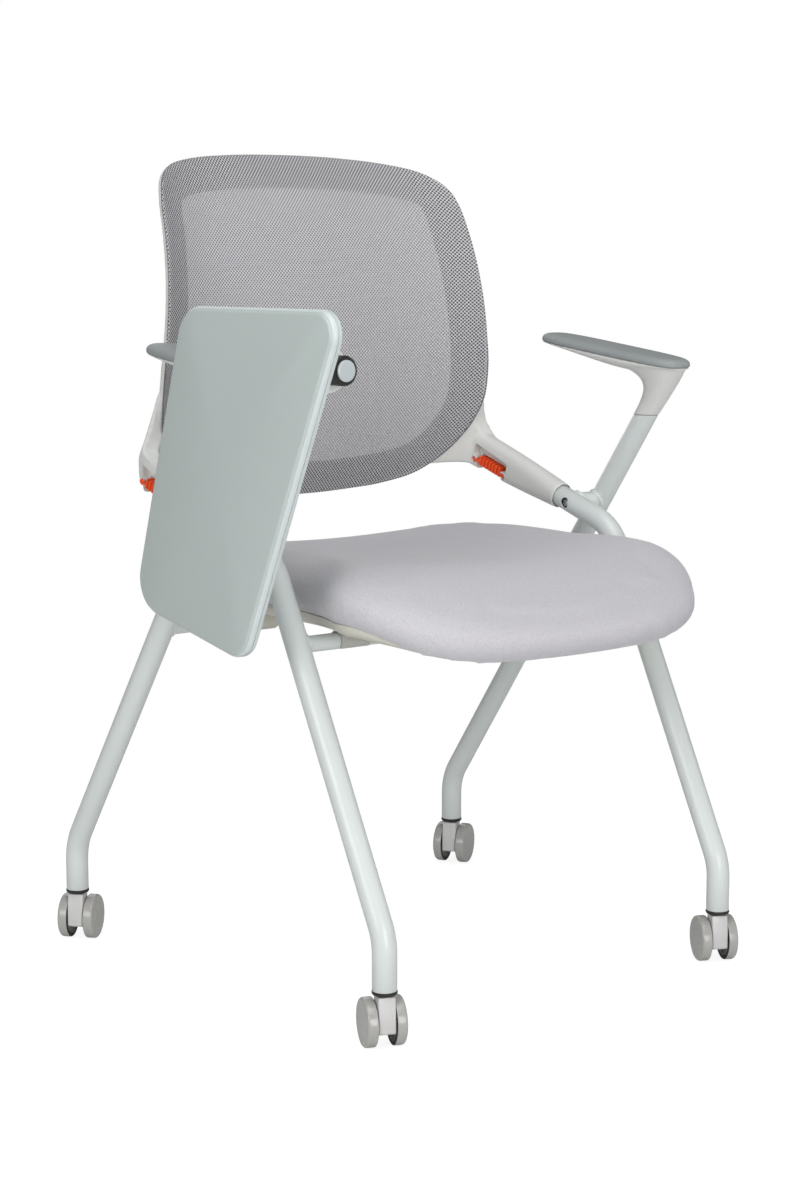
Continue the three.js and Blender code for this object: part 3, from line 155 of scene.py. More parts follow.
def finish(name, colour, rough, patch=7.0, drift=0.05, grain=900.0, relief=0.00002, metal=0.0, coat=0.0):
    """A finish whose colour and roughness drift in soft patches, with a fine grain as bump."""
    material = bpy.data.materials.new(name)
    material.use_nodes = True
    tree = material.node_tree
    shader = tree.nodes["Principled BSDF"]
    shader.inputs["Metallic"].default_value = metal
    shader.inputs["Coat Weight"].default_value = coat
    where = shader_node(tree, "TexCoord").outputs["Object"]
    patches = shader_node(tree, "TexNoise", {"Scale": patch, "Detail": 4})
    darker, lighter = np.array(colour[:3]) * (1 - drift), np.minimum(np.array(colour[:3]) * (1 + drift), 1)
    tone = shader_node(tree, "Mix", data_type="RGBA")
    tone.inputs[6].default_value, tone.inputs[7].default_value = (*darker, 1), (*lighter, 1)
    gloss = shader_node(tree, "MapRange", {"To Min": max(rough - 0.06, 0.02), "To Max": min(rough + 0.08, 1)})
    specks = shader_node(tree, "TexNoise", {"Scale": grain, "Detail": 2})
    bump = shader_node(tree, "Bump", {"Distance": relief})
    for source, socket in (
            (where, patches.inputs["Vector"]), (where, specks.inputs["Vector"]),
            (patches.outputs["Fac"], tone.inputs[0]), (tone.outputs[2], shader.inputs["Base Color"]),
            (patches.outputs["Fac"], gloss.inputs["Value"]), (gloss.outputs[0], shader.inputs["Roughness"]),
            (specks.outputs["Fac"], bump.inputs["Height"]), (bump.outputs[0], shader.inputs["Normal"])):
        tree.links.new(source, socket)
    return material


def surface(name, grid, ring_on=False, laid=None):
    """A mesh from a grid of points in millimetres from the chair's own middle. Quads join neighbouring points, each
    row closes on itself, and with ring_on the last row joins the first. Doubles are merged and faces point out.
    Where the piece was cut flat, laid gives each point's place in the cut."""
    rows, columns = grid.shape[:2]
    r, c = np.arange(rows if ring_on else rows - 1)[:, None], np.arange(columns)[None, :]
    below, beside = (r + 1) % rows, (c + 1) % columns
    faces = np.stack([r * columns + c, r * columns + beside, below * columns + beside, below * columns + c], -1)
    mesh = bpy.data.meshes.new(name)
    mesh.from_pydata((grid.reshape(-1, 3) / 1000 + middle).tolist(), [], faces.reshape(-1, 4).tolist())
    if laid is not None:
        layer = mesh.uv_layers.new(name="cut")
        layer.data.foreach_set("uv", (laid.reshape(-1, 2)[faces.ravel()] / 1000).astype(np.float32).ravel())
    work = bmesh.new()
    work.from_mesh(mesh)
    bmesh.ops.remove_doubles(work, verts=work.verts, dist=2e-6)
    bmesh.ops.recalc_face_normals(work, faces=work.faces)
    work.to_mesh(mesh)
    work.free()
    obj = bpy.data.objects.new(name, mesh)
    scene.collection.objects.link(obj)
    return obj


def dressed(obj, material, slot, body, *replaced, crease=38):
    """Smooth shading up to a crease angle, a finish, the body that the piece rides on and the nodes it replaces."""
    obj.data.polygons.foreach_set("use_smooth", np.ones(len(obj.data.polygons), bool))
    obj.data.set_sharp_from_angle(angle=math.radians(crease))
    obj.data.materials.clear()
    obj.data.materials.append(material)
    if body:
        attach(obj, body)
    if replaced:
        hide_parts(*replaced)


def bent_path(turns, radii):
    """Straight runs joined by arcs. An arc of radius r starts r tan(half turn) before its corner and bends toward
    the next run, with a point every 3 degrees."""
    turns = np.asarray(turns, float)
    runs = np.diff(turns, axis=0)
    runs /= np.linalg.norm(runs, axis=1)[:, None]
    points, tangents = [turns[:1]], [runs[:1]]
    for corner, before, after, radius in zip(turns[1:-1], runs[:-1], runs[1:], radii):
        turn = math.acos(before @ after)
        angle = np.linspace(0, turn, round(math.degrees(turn) / 3) + 2)[:, None]
        inward = after - (after @ before) * before
        inward /= np.linalg.norm(inward)
        start = corner - before * radius * math.tan(turn / 2)
        points.append(start + radius * (np.sin(angle) * before + (1 - np.cos(angle)) * inward))
        tangents.append(np.cos(angle) * before + np.sin(angle) * inward)
    return np.concatenate([*points, turns[-1:]]), np.concatenate([*tangents, runs[-1:]])


def rings(centres, across, up, half_across, half_up, power=2.0, count=48):
    """Superellipse rings: centre + a |cos|^(2/p) across + b |sin|^(2/p) up, with one row for each centre."""
    angle = np.linspace(0, 2 * np.pi, count, endpoint=False)[None, :]
    power, half_across, half_up = (
        np.broadcast_to(value, len(centres))[:, None] for value in (power, half_across, half_up))
    right = np.sign(np.cos(angle)) * np.abs(np.cos(angle)) ** (2 / power) * half_across
    rise = np.sign(np.sin(angle)) * np.abs(np.sin(angle)) ** (2 / power) * half_up
    across, up = np.broadcast_to(across, centres.shape), np.broadcast_to(up, centres.shape)
    return centres[:, None] + right[..., None] * across[:, None] + rise[..., None] * up[:, None]


def swept(path, reference, radii, count=48):
    """Round rings of the given radii square to a path, kept upright by the reference direction."""
    points, tangents = path
    side = np.cross(tangents, reference)
    side /= np.linalg.norm(side, axis=1)[:, None]
    return rings(points, side, np.cross(side, tangents), radii, radii, count=count)


def bar(line, radius, along=CHAIR_X, reference=CHAIR_Z, count=48):
    """Rings on a line, all square to one direction."""
    return swept((line, np.tile(along, (len(line), 1))), reference, radius, count)


def closed(name, grid):
    """A closed surface from rings, with a pole in the middle of its first and last ring."""
    first, last = (np.repeat(ring.mean(0)[None, None], grid.shape[1], 1) for ring in (grid[0], grid[-1]))
    return surface(name, np.concatenate([first, grid, last]))


def baked(obj, *steps):
    """The object with these modifiers applied, each given as its type and settings."""
    for kind, settings in steps:
        modifier = obj.modifiers.new(kind, kind)
        for key, value in settings.items():
            setattr(modifier, key, value)
    bpy.context.view_layer.update()
    done = bpy.data.meshes.new_from_object(obj.evaluated_get(bpy.context.evaluated_depsgraph_get()))
    obj.modifiers.clear()
    obj.data = done
    return obj


def cut(obj, *cutters, how="DIFFERENCE"):
    """The piece with closed cutters taken away, or kept only where they are."""
    for cutter in cutters:
        baked(obj, ("BOOLEAN", {"operation": how, "object": cutter, "solver": "EXACT"}))
        bpy.data.objects.remove(cutter)
    return obj


TUBE, WALL, EASE = 12.5, 1.6, 0.4
KNEE_X, LEG_END = 235.5, 59.3
SCREW_Y, HOLE = -9.0, 6.2
front_turns = np.array([(232, -256.2, LEG_END), (232, -256.2, 110.5), (KNEE_X, -75.2, 466.4), (KNEE_X, 60, 512.5)])
rear_turns = np.array([(275.4, 256.2, LEG_END), (275.4, 256.2, 112), (280, -83, 592)])
leg_run, back_run, arm_run = (
    (turns[end] - turns[end - 1]) / np.linalg.norm(turns[end] - turns[end - 1])
    for turns, end in ((front_turns, 2), (front_turns, 3), (rear_turns, 2)))


def on_back_tube(y):
    """The point of the back tube's middle line at depth y."""
    return front_turns[2] + back_run * (y - front_turns[2][1]) / back_run[1]


def leg_at(turns, z):
    """The point of a leg's middle line, between its first and second bend, at height z."""
    run = turns[2] - turns[1]
    return turns[1] + run * (z - turns[1][2]) / run[2]


def hollow_tube(path):
    """Rings up the outside and back down the bore, a wall apart, with both rims eased: a tube closed on itself."""
    points, tangents = path
    shift = np.zeros(len(points))
    shift[0], shift[-1] = EASE, -EASE
    body = points + tangents * shift[:, None]
    order = [points[:1], body, points[-1:], points[-1:], body[::-1], points[:1]]
    along = [tangents[:1], tangents, tangents[-1:], tangents[-1:], tangents[::-1], tangents[:1]]
    outer, inner = np.full(len(points), TUBE), np.full(len(points), TUBE - WALL)
    size = [[TUBE - EASE], outer, [TUBE - EASE], [TUBE - WALL + EASE], inner, [TUBE - WALL + EASE]]
    return swept((np.concatenate(order), np.concatenate(along)), CHAIR_X, np.concatenate(size), 56)


powder_coat = finish("powder_coat", screen(214, 220, 218), 0.32, patch=5, drift=0.03, grain=420, relief=0.00004,
                     coat=0.25)
front_tube = hollow_tube(bent_path(front_turns, (62, 60)))
rear_tube = hollow_tube(bent_path(rear_turns, (62,)))
row_height = rear_tube[..., 2].mean(1)[:, None]
at_top = row_height > rear_turns[2][2] - 3 * EASE
level = np.where(at_top, row_height - rear_tube[..., 2], 0)
rear_tube = rear_tube + arm_run * (level / arm_run[2])[..., None]
for side, flip in SIDES:
    for pair, tube in (("front", front_tube), ("rear", rear_tube)):
        leg = surface(f"frame_tube_{pair}_{side}", tube * flip, ring_on=True)
        if pair == "front":
            screw_hole = on_back_tube(SCREW_Y) - [(25, 0, 0), (6, 0, 0)]
            cut(leg, closed("hole", bar(screw_hole, HOLE) * flip))
        dressed(leg, powder_coat, "painted_tube", "frame", f"leg_tube_{pair}_{side}", crease=50)

# Cross tubes and crossing spacers: 17 mm tube between the legs and a short boss where the two tubes of a side
# pass each other, each with a run of weld round it under the powder coat.
CROSS, CROSS_Z, SPACER = 8.5, 383.4, 11.0


def along_ring(line):
    """The unit direction along a closed line, from each point's last neighbour to its next."""
    along = np.roll(line, -1, 0) - np.roll(line, 1, 0)
    return along / np.linalg.norm(along, axis=1)[:, None]


def weld(name, centre, radius, on_leg, run, bead):
    """A rippled bead along the curve where a round bar across the chair meets a leg, on both sides: each point of
    the bar's edge is moved along it until it lies on the leg's skin."""
    angle = np.linspace(0, 2 * np.pi, 96, endpoint=False)
    up = np.cross(CHAIR_X, run)
    up /= np.linalg.norm(up)
    edge = centre + radius * (np.cos(angle)[:, None] * run + np.sin(angle)[:, None] * up)
    aside = (edge - on_leg) @ up
    reach = np.sqrt(np.maximum(TUBE ** 2 - aside ** 2, 0))
    toward = np.cross(run, up)
    toward *= np.sign(toward @ (centre - on_leg))
    line = edge - toward * ((edge - on_leg) @ toward)[:, None] + toward * reach[:, None]
    rows = swept((line, along_ring(line)), CHAIR_X, bead * (1 + 0.07 * np.sin(angle * 17)), 16)
    for side, flip in SIDES:
        seam = surface(f"{name}_{side}", rows * flip, ring_on=True)
        dressed(seam, powder_coat, "painted_tube", "frame")


for pair, turns, run in (("front", front_turns, leg_run), ("rear", rear_turns, arm_run)):
    end = leg_at(turns, CROSS_Z)
    reach = end[0] - TUBE + 1.2
    line = np.linspace((-reach, *end[1:]), (reach, *end[1:]), 9)
    cross_bar = closed(f"cross_bar_{pair}", bar(line, CROSS))
    dressed(cross_bar, powder_coat, "painted_tube", "frame", f"cross_tube_{pair}")
    weld(f"weld_{pair}", end - CHAIR_X * TUBE, CROSS, end, run, 1.9)

rise = back_run[2] / back_run[1]
lean = arm_run[1] / arm_run[2]
crossing_z = (front_turns[2][2] + rise * (rear_turns[1][1] - lean * rear_turns[1][2] - front_turns[2][1])) / (
    1 - rise * lean)
arm_side = leg_at(rear_turns, crossing_z)
leg_side = arm_side * (0, 1, 1) + (KNEE_X, 0, 0)
share = np.linspace(0.2, 0.8, 25)[:, None]
boss = bar(leg_side + (arm_side - leg_side) * share, SPACER)
for side, flip in SIDES:
    spacer = closed(f"crossing_boss_{side}", boss * flip)
    dressed(spacer, powder_coat, "painted_tube", "frame", f"frame_spacer_{side}")
weld("fillet_leg", leg_side + CHAIR_X * TUBE, SPACER, leg_side, back_run, 3.0)
weld("fillet_arm", arm_side - CHAIR_X * TUBE, SPACER, arm_side, arm_run, 3.0)

# Backrest moulding: ring, lower corners, wings and sockets are one pale nylon moulding. A slot in each wing
# leaves a thin strip on top that bends, so the back gives a little over the frame, and the sockets push into
# the ends of the back tubes.
LIP, LIP_Y = 15.0, 8.0
BLADE, BLADE_TALL = 12.0, 21.5
WING_END = np.array([KNEE_X, 165, 543.0])
HINGE_Y, HINGE_Z = 125.0, 541.5
SLOT, SLOT_WEB, BEAD_AT = np.array([128.0, 520.0]), 1.5, 27.8
SLOPE = math.radians(18)
BACK_HALF, BACK_TOP, BACK_LOW, LUMBAR = 228.0, 885.0, 496.0, 690.0
LUMBAR_Y, TOP_SWEEP, LOW_SWEEP, HOLLOW = 130.0, 63.0, 42.0, 35.0
WIDE_LOW, WIDE_TOP = 1.009, 0.865
NET, GAP = 1.6, 0.3
RING_DEEP, RING_WIDE, RING_IN, RING_LIP = 8.5, 38.0, 1.2, 1.2
back_shares = np.array([
    (0, 1), (0.35, 0.995), (0.61, 0.98), (0.77, 0.957), (0.865, 0.918), (0.91, 0.86), (0.93, 0.78), (0.956, 0.635),
    (0.983, 0.485), (1, 0.37), (0.995, 0.267), (0.948, 0.185), (0.856, 0.108), (0.72, 0.048), (0.524, 0.018),
    (0.24, 0.003), (0, 0)])


def back_surface(x, z):
    """Depth of the back's front: hollow across by a fourth power, bowed forward at the lumbar height, and swept back
    above and below it by a square."""
    above = np.maximum(0, z - LUMBAR) / (BACK_TOP - LUMBAR)
    below = np.maximum(0, LUMBAR - z) / (LUMBAR - BACK_LOW)
    rise = np.clip((z - BACK_LOW) / (BACK_TOP - BACK_LOW), 0, 1)
    half = BACK_HALF * (WIDE_LOW + (WIDE_TOP - WIDE_LOW) * rise ** 2)
    hollow = HOLLOW * (1 - np.minimum(1, np.abs(x) / half) ** 4)
    return LUMBAR_Y + TOP_SWEEP * above ** 2 + LOW_SWEEP * below ** 2 + hollow


def spline(points, count, loop=True):
    """Centripetal Catmull-Rom curve through the points, resampled to count points at equal steps."""
    points = np.asarray(points, float)
    if loop:
        ring = np.concatenate([points[-1:], points, points[:2]])
    else:
        ring = np.concatenate([2 * points[:1] - points[1:2], points, 2 * points[-1:] - points[-2:-1]])
    gap = np.sqrt(np.linalg.norm(np.diff(ring, axis=0), axis=1))[:, None]
    p0, p1, p2, p3 = ring[:-3], ring[1:-2], ring[2:-1], ring[3:]
    d0, d1, d2 = gap[:-2], gap[1:-1], gap[2:]
    m1 = ((p1 - p0) / d0 - (p2 - p0) / (d0 + d1) + (p2 - p1) / d1) * d1
    m2 = ((p2 - p1) / d1 - (p3 - p1) / (d1 + d2) + (p3 - p2) / d2) * d1
    t = np.linspace(0, 1, 24, endpoint=False)[None, :, None]
    bent = ((2 * t ** 3 - 3 * t ** 2 + 1) * p1[:, None] + (t ** 3 - 2 * t ** 2 + t) * m1[:, None]
            + (3 * t ** 2 - 2 * t ** 3) * p2[:, None] + (t ** 3 - t ** 2) * m2[:, None]).reshape(-1, points.shape[1])
    bent = np.concatenate([bent, ring[-2:-1] if not loop else bent[:1]])
    reach = np.concatenate([[0], np.cumsum(np.linalg.norm(np.diff(bent, axis=0), axis=1))])
    places = np.linspace(0, reach[-1], count, endpoint=not loop)
    return np.stack([np.interp(places, reach, bent[:, k]) for k in range(points.shape[1])], 1)


def outward_of(outline):
    """The unit direction out of a closed outline that runs clockwise, square to its line."""
    along = along_ring(outline)
    return np.stack([-along[:, 1], along[:, 0]], 1)


def mirrored_outline(shares, to_place, count):
    """A closed outline from one half's shares, mirrored to the other side and smoothed."""
    whole = np.concatenate([shares, shares[1:-1][::-1] * (-1, 1)])
    return spline(to_place(whole), count)


def eased(outline, radius, steps=5):
    """The outline with each corner c rounded between a and b, radius away from it: (1-t)^2 a + 2t(1-t) c + t^2 b."""
    outline = np.asarray(outline, float)
    radius = np.broadcast_to(radius, len(outline))[:, None]
    to_last, to_next = np.roll(outline, 1, 0) - outline, np.roll(outline, -1, 0) - outline
    a = outline + to_last / np.linalg.norm(to_last, axis=1)[:, None] * radius
    b = outline + to_next / np.linalg.norm(to_next, axis=1)[:, None] * radius
    t = np.linspace(0, 1, steps + 1)[None, :, None]
    return ((1 - t) ** 2 * a[:, None] + 2 * t * (1 - t) * outline[:, None] + t ** 2 * b[:, None]).reshape(-1, 2)


def plate(name, outline, axis, low, high, ease=0.0):
    """An outline pushed along an axis, its edges rounded by insets of ease (1 - sin) at depths of ease (1 - cos)."""
    low, high = sorted((low, high))
    if ease:
        angle = np.linspace(0, np.pi / 2, 5)
        inset = np.concatenate([ease * (1 - np.sin(angle)), ease * (1 - np.sin(angle[::-1]))])
        depth = np.concatenate([low + ease * (1 - np.cos(angle)), high - ease * (1 - np.cos(angle[::-1]))])
    else:
        inset, depth = np.zeros(2), np.array([low, high])
    out = outward_of(outline)
    area = np.sum(outline[:, 0] * np.roll(outline[:, 1], -1) - outline[:, 1] * np.roll(outline[:, 0], -1))
    flat = outline[None] - inset[:, None, None] * out[None] * (-1 if area > 0 else 1)
    columns = [flat[..., 0], flat[..., 1]]
    columns.insert(axis, np.broadcast_to(depth[:, None], columns[0].shape))
    return closed(name, np.stack(columns, -1))


def fused(name, parts, cube, passes):
    """One moulding from several closed parts: their union on a grid of cubes, in mm, then each point averaged with
    its neighbours in so many passes."""
    for other in parts[1:]:
        other.select_set(False)
    with bpy.context.temp_override(active_object=parts[0], selected_editable_objects=parts, selected_objects=parts):
        bpy.ops.object.join()
    whole = parts[0]
    whole.name = name
    return baked(whole, ("REMESH", {"mode": "VOXEL", "voxel_size": cube / 1000}),
                 ("SMOOTH", {"factor": 0.5, "iterations": passes}))


def back_place(shares):
    """Front-view places of the back's outline."""
    return np.stack([shares[:, 0] * BACK_HALF, BACK_LOW + shares[:, 1] * (BACK_TOP - BACK_LOW)], 1)


BACK_MIDDLE = np.array([0, 700.0])
back_outline = mirrored_outline(back_shares, back_place, 288)
back_out = outward_of(back_outline)


def on_back(flat, depth):
    """Points of the front view moved to a depth behind the back's surface."""
    x, z = flat[..., 0], flat[..., 1]
    return np.stack([x, back_surface(x, z) + depth, z], -1)


def ring_grid():
    """A rounded strip carried round the outline: its width goes inward and its depth goes back from the surface,
    with a small lip along its rear edge."""
    near, far = NET + GAP, NET + GAP + RING_DEEP
    box = eased([
        (RING_IN, near), (RING_IN, far + RING_LIP), (4.5, far + RING_LIP), (8, far), (RING_WIDE, far),
        (RING_WIDE, near)], [2.2, 1.4, 1.4, 1.6, 4, 4], 4)
    flat = back_outline[:, None] - back_out[:, None] * box[None, :, :1]
    return on_back(flat, box[None, :, 1])


def wing_grid():
    """Rings from the round lip to the tall flat blade: the sizes follow a quarter sine, and the rings turn square."""
    share = np.linspace(0, 1, 60)
    swell = np.sin(share * np.pi / 2)
    centre = on_back_tube(LIP_Y) + (WING_END - on_back_tube(LIP_Y)) * share[:, None]
    up = np.array([0, -math.sin(SLOPE), math.cos(SLOPE)])
    wide, tall = LIP + (BLADE - LIP) * swell, LIP + (BLADE_TALL - LIP) * swell
    return rings(centre, CHAIR_X, up, wide, tall, 2 + 1.3 * swell, 64)


corner_side = np.array([
    (0, 0.09), (0.16, 0.12), (0.4, 0.155), (0.67, 0.13), (1, 0.08), (1, 1), (0.15, 0.72), (0.19, 0.53), (0.205, 0.43),
    (0.175, 0.37), (0, 0.293)])
corner_front = np.array([
    (0.5, 0), (0.9, 0), (0.965, 0.06), (1.005, 0.13), (1.04, 0.2), (1.075, 0.3), (1.08, 0.39), (1.055, 0.45),
    (1.036, 0.53), (1.024, 0.61), (1.004, 0.73), (0.975, 0.9), (0.94, 1), (0.93, 1), (0.92, 0.7), (0.86, 0.5),
    (0.76, 0.35), (0.62, 0.22), (0.5, 0.15)])
CORNER_DEEP, CORNER_TALL, CORNER_LOW, BAND, HEEL, OVERHANG = 120.0, 170.0, 498.0, 10.0, 13.5, 25.6


def eased_step(value, start, end):
    """0 before start, 1 past end, and 3t^2 - 2t^3 between them."""
    t = np.clip((value - start) / (end - start), 0, 1)
    return t * t * (3 - 2 * t)


def band_grid():
    """A wall seen from above as a strip along a curve, from the wing round to the ring, carried up, thinning as it
    rises, leant with the back, and drawn in sideways by a smooth step after a slight bell-shaped bulge."""
    def wall(share):
        x = KNEE_X + (BACK_HALF / 2 - KNEE_X) * share
        return np.array([x, back_surface(x, WING_END[2]) + NET + GAP + BAND / 2])

    bend = wall(0.035)
    start = np.array([KNEE_X, HINGE_Y - 12])
    spine = spline([start, (KNEE_X, (HINGE_Y + bend[1]) / 2), bend, wall(0.35), wall(0.65), wall(1)], 70, loop=False)
    along = np.gradient(spine, axis=0)
    along /= np.linalg.norm(along, axis=1)[:, None]
    out = np.stack([along[:, 1], -along[:, 0]], 1)
    z = CORNER_LOW + CORNER_TALL * np.linspace(0, 1, 60)[:, None]
    root = HEEL + (BAND / 2 - HEEL) * eased_step(z, 545, 655)
    half = (root + (BAND / 2 - root) * np.minimum(1, 1.6 * np.linspace(0, 1, 70)))[..., None]
    strip = np.concatenate([spine + out * half, (spine - out * half)[:, ::-1]], 1)
    lean = back_surface(BACK_HALF, z) - back_surface(BACK_HALF, WING_END[2])
    y = strip[..., 1] + lean * eased_step(strip[..., 1], HINGE_Y, back_surface(BACK_HALF, WING_END[2]))
    narrow = 1 + 0.015 * np.exp(-((z - 556) / 14) ** 2) - 0.03 * eased_step(z, 575, 640)
    return np.stack(np.broadcast_arrays(strip[..., 0] * narrow, y, z), -1)


def corner_block(flip):
    """The leaning wall, kept only inside its side view and its front view, whose edges are smooth curves."""
    side_view = corner_side * (CORNER_DEEP, CORNER_TALL) + (HINGE_Y, CORNER_LOW)
    side_view = np.concatenate([
        spline(side_view[:5], 60, loop=False), side_view[5:6], spline(side_view[6:], 60, loop=False)])
    past_edge = (KNEE_X + OVERHANG - BACK_HALF) / 0.14
    x, z = corner_front.T
    x = BACK_HALF * np.minimum(x, 1) + past_edge * np.maximum(x - 1, 0)
    front_view = np.stack([x, CORNER_LOW + CORNER_TALL * z], 1) * flip[:2]
    front_view = np.concatenate([
        front_view[:1], spline(front_view[1:13], 90, loop=False), spline(front_view[13:], 60, loop=False)])
    block = closed("corner", band_grid() * flip)
    return cut(block, plate("side_view", side_view, 0, 0, flip[0] * 2 * BACK_HALF),
               plate("front_view", front_view, 1, 0, 400), how="INTERSECT")


def slot_outline(window):
    """From the side, either the window with its round corners, or the throat with a round pocket in each wall for a
    bead of the spring."""
    turn = np.array([(math.cos(SLOPE), math.sin(SLOPE)), (-math.sin(SLOPE), math.cos(SLOPE))])
    if window:
        return SLOT + eased([(30, 4.5), (30, 20), (-33, 17), (-33, 4.5)], 4.0, 6) @ turn
    pocket = np.linspace(math.radians(30), math.radians(330), 30)
    bead = np.stack([4 * np.cos(pocket), 4 * np.sin(pocket)], 1)
    return SLOT + np.concatenate([
        [(24, 8.4), (-24, 8.4), (-24, 4)], bead - (BEAD_AT, 0), [(-24, -40), (24, -40)], -bead + (BEAD_AT, 0),
        [(24, 4)]]) @ turn


def recess_grid(depth):
    """The room in front of a depth behind the back's surface, inside the outline grown by 0.6 mm: rows from the
    back's middle out to its edge, and the same rows again well in front."""
    inward = np.linspace(0, 1, 24)[:, None, None]
    flat = (back_outline + back_out * 0.6)[None] * inward + BACK_MIDDLE * (1 - inward)
    return np.concatenate([on_back(flat, depth), on_back(flat[::-1], -60.0)])


pale_nylon = finish("pale_nylon", screen(222, 223, 219), 0.42, patch=6, drift=0.03, grain=1300, relief=0.000015)
parts = [surface("ring", ring_grid(), ring_on=True)]
hip = np.array([(KNEE_X + 12.3, 146), (KNEE_X + 24, 146), (KNEE_X + 24, 192), (KNEE_X - 14, 192)])
for side, flip in SIDES:
    parts.append(cut(closed("wing", wing_grid() * flip), plate("hip", hip * flip[:2], 2, 400, 700)))
    parts.append(corner_block(flip))
back = fused("back_moulding", parts, 1.7, 7)
cutters = [closed("recess", recess_grid(NET + GAP))]
for side, flip in SIDES:
    for start, end, radius in ((LIP_Y - 55, 60.3, TUBE + GAP), (LIP_Y - 8, LIP_Y + 4.0, LIP - 0.9)):
        hole = np.stack([on_back_tube(start), on_back_tube(end)])
        cutters.append(closed("bore", bar(hole, radius, back_run, CHAIR_X, 64) * flip))
    for window, near, far in ((True, -30, -SLOT_WEB), (True, SLOT_WEB, 30), (False, -30, 30)):
        cutters.append(plate("slot", slot_outline(window), 0, flip[0] * (KNEE_X + near), flip[0] * (KNEE_X + far)))
cut(back, *cutters)
dressed(back, pale_nylon, "pale_moulding", None, "back_frame", "back_socket_left", "back_socket_right", crease=45)
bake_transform(back)

# Socket screws: pan head, cross recess, zinc plated. Each sits in a hole of the tube, on a flat of the black
# spigot that the socket pushes into the tube. The spigot's black is painted shade in the hole round the head.
zinc = finish("zinc", screen(198, 200, 202), 0.3, patch=60, drift=0.1, grain=2500, relief=0.00001, metal=0.9)
black_nylon = finish("black_nylon", screen(34, 32, 31), 0.4, patch=12, drift=0.12, grain=1200, relief=0.00002)
SPIGOT = TUBE - WALL - GAP
SEAT_X = SPIGOT - 1.6
HEAD, HEAD_HIGH = 3.8, 2.4
CROSS_HALF, CROSS_LONG, CROSS_DEEP = 0.65, 2.7, 1.8


def screw_head():
    """A low dome with a cross sunk in it: the height falls with the 2.4th power of the radius, less a step where
    |u| or |v| is small."""
    r = np.concatenate([[0], np.linspace(0.04, 1, 26)])[:, None] * HEAD
    angle = np.linspace(0, 2 * np.pi, 96, endpoint=False)[None]
    u, v = r * np.cos(angle), r * np.sin(angle)
    arm = (np.minimum(np.abs(u), np.abs(v)) < CROSS_HALF) & (np.maximum(np.abs(u), np.abs(v)) < CROSS_LONG)
    height = HEAD_HIGH * (1 - 0.55 * (r / HEAD) ** 2.4) - np.where(arm, CROSS_DEEP, 0)
    top = np.stack(np.broadcast_arrays(-height, u, v), -1)
    foot = top[-1:] * (0, 1, 1)
    return np.concatenate([top, foot, foot * 0])


for side, flip in SIDES:
    plug_line = np.stack([on_back_tube(y) for y in np.linspace(-22, 20, 12)])
    # The spigot is black nylon, seen only through the screw hole: painted shade round the screw head.
    painted_shade_plug = closed(f"socket_spigot_{side}", bar(plug_line, SPIGOT, back_run, CHAIR_X) * flip)
    seat_line = on_back_tube(SCREW_Y) - [(25, 0, 0), (SEAT_X - 0.3, 0, 0)]
    cut(painted_shade_plug, closed("seat", bar(seat_line, HOLE - 0.3) * flip))
    dressed(painted_shade_plug, black_nylon, "black_moulding", "frame")
    head = screw_head() + on_back_tube(SCREW_Y) - (SEAT_X, 0, 0)
    screw = surface(f"socket_screw_head_{side}", head * flip)
    dressed(screw, zinc, "steel", "frame", f"socket_screw_{side}", crease=30)

# Back net: an open diamond knit, cut from one piece and stretched over the ring, whose front it hides. It turns
# round the ring's front corner, and a beaded strand along its edge lies on the ring's side.
NET_LIFT, NET_TURN = 0.25, 1.4
LATTICE = 0.0042


def side_free(outline):
    """1 where the ring's side is free of the corner moulding, at the top and low in the middle, and 0 beside it."""
    return np.maximum(eased_step(outline[:, 1], 640, 700), eased_step(-np.abs(outline[:, 0]), -110, -80))


def net_grid():
    """Rows from the middle out to the rim, a quarter turn round the ring's edge, and a short way back along its side
    where the corner moulding leaves the side free. The cut is the same rows laid flat, at their real lengths."""
    free = side_free(back_outline)[None, :, None]
    rim = back_outline - back_out * NET_TURN
    front = BACK_MIDDLE + (rim - BACK_MIDDLE)[None] * np.linspace(0, 1, 44)[:, None, None]
    angle = np.linspace(0, np.pi / 2, 9)[1:, None, None]
    round_edge = rim + back_out * NET_TURN * np.sin(angle)
    side = np.repeat(back_outline[None], 4, 0)
    front_depth = np.full((*front.shape[:2], 1), NET_LIFT)
    edge_depth = NET_LIFT + NET_TURN * (1 - np.cos(angle)) * free
    side_depth = NET_LIFT + (NET_TURN + np.linspace(0, 0.3, 5)[1:, None, None]) * free
    depth = np.concatenate([front_depth, edge_depth, side_depth])[..., 0]
    grid = on_back(np.concatenate([front, round_edge, side]), depth)
    run = np.cumsum(np.linalg.norm(np.diff(grid[43:], axis=0), axis=2), axis=0)
    return grid, np.concatenate([front, rim[None] + back_out[None] * run[..., None]])


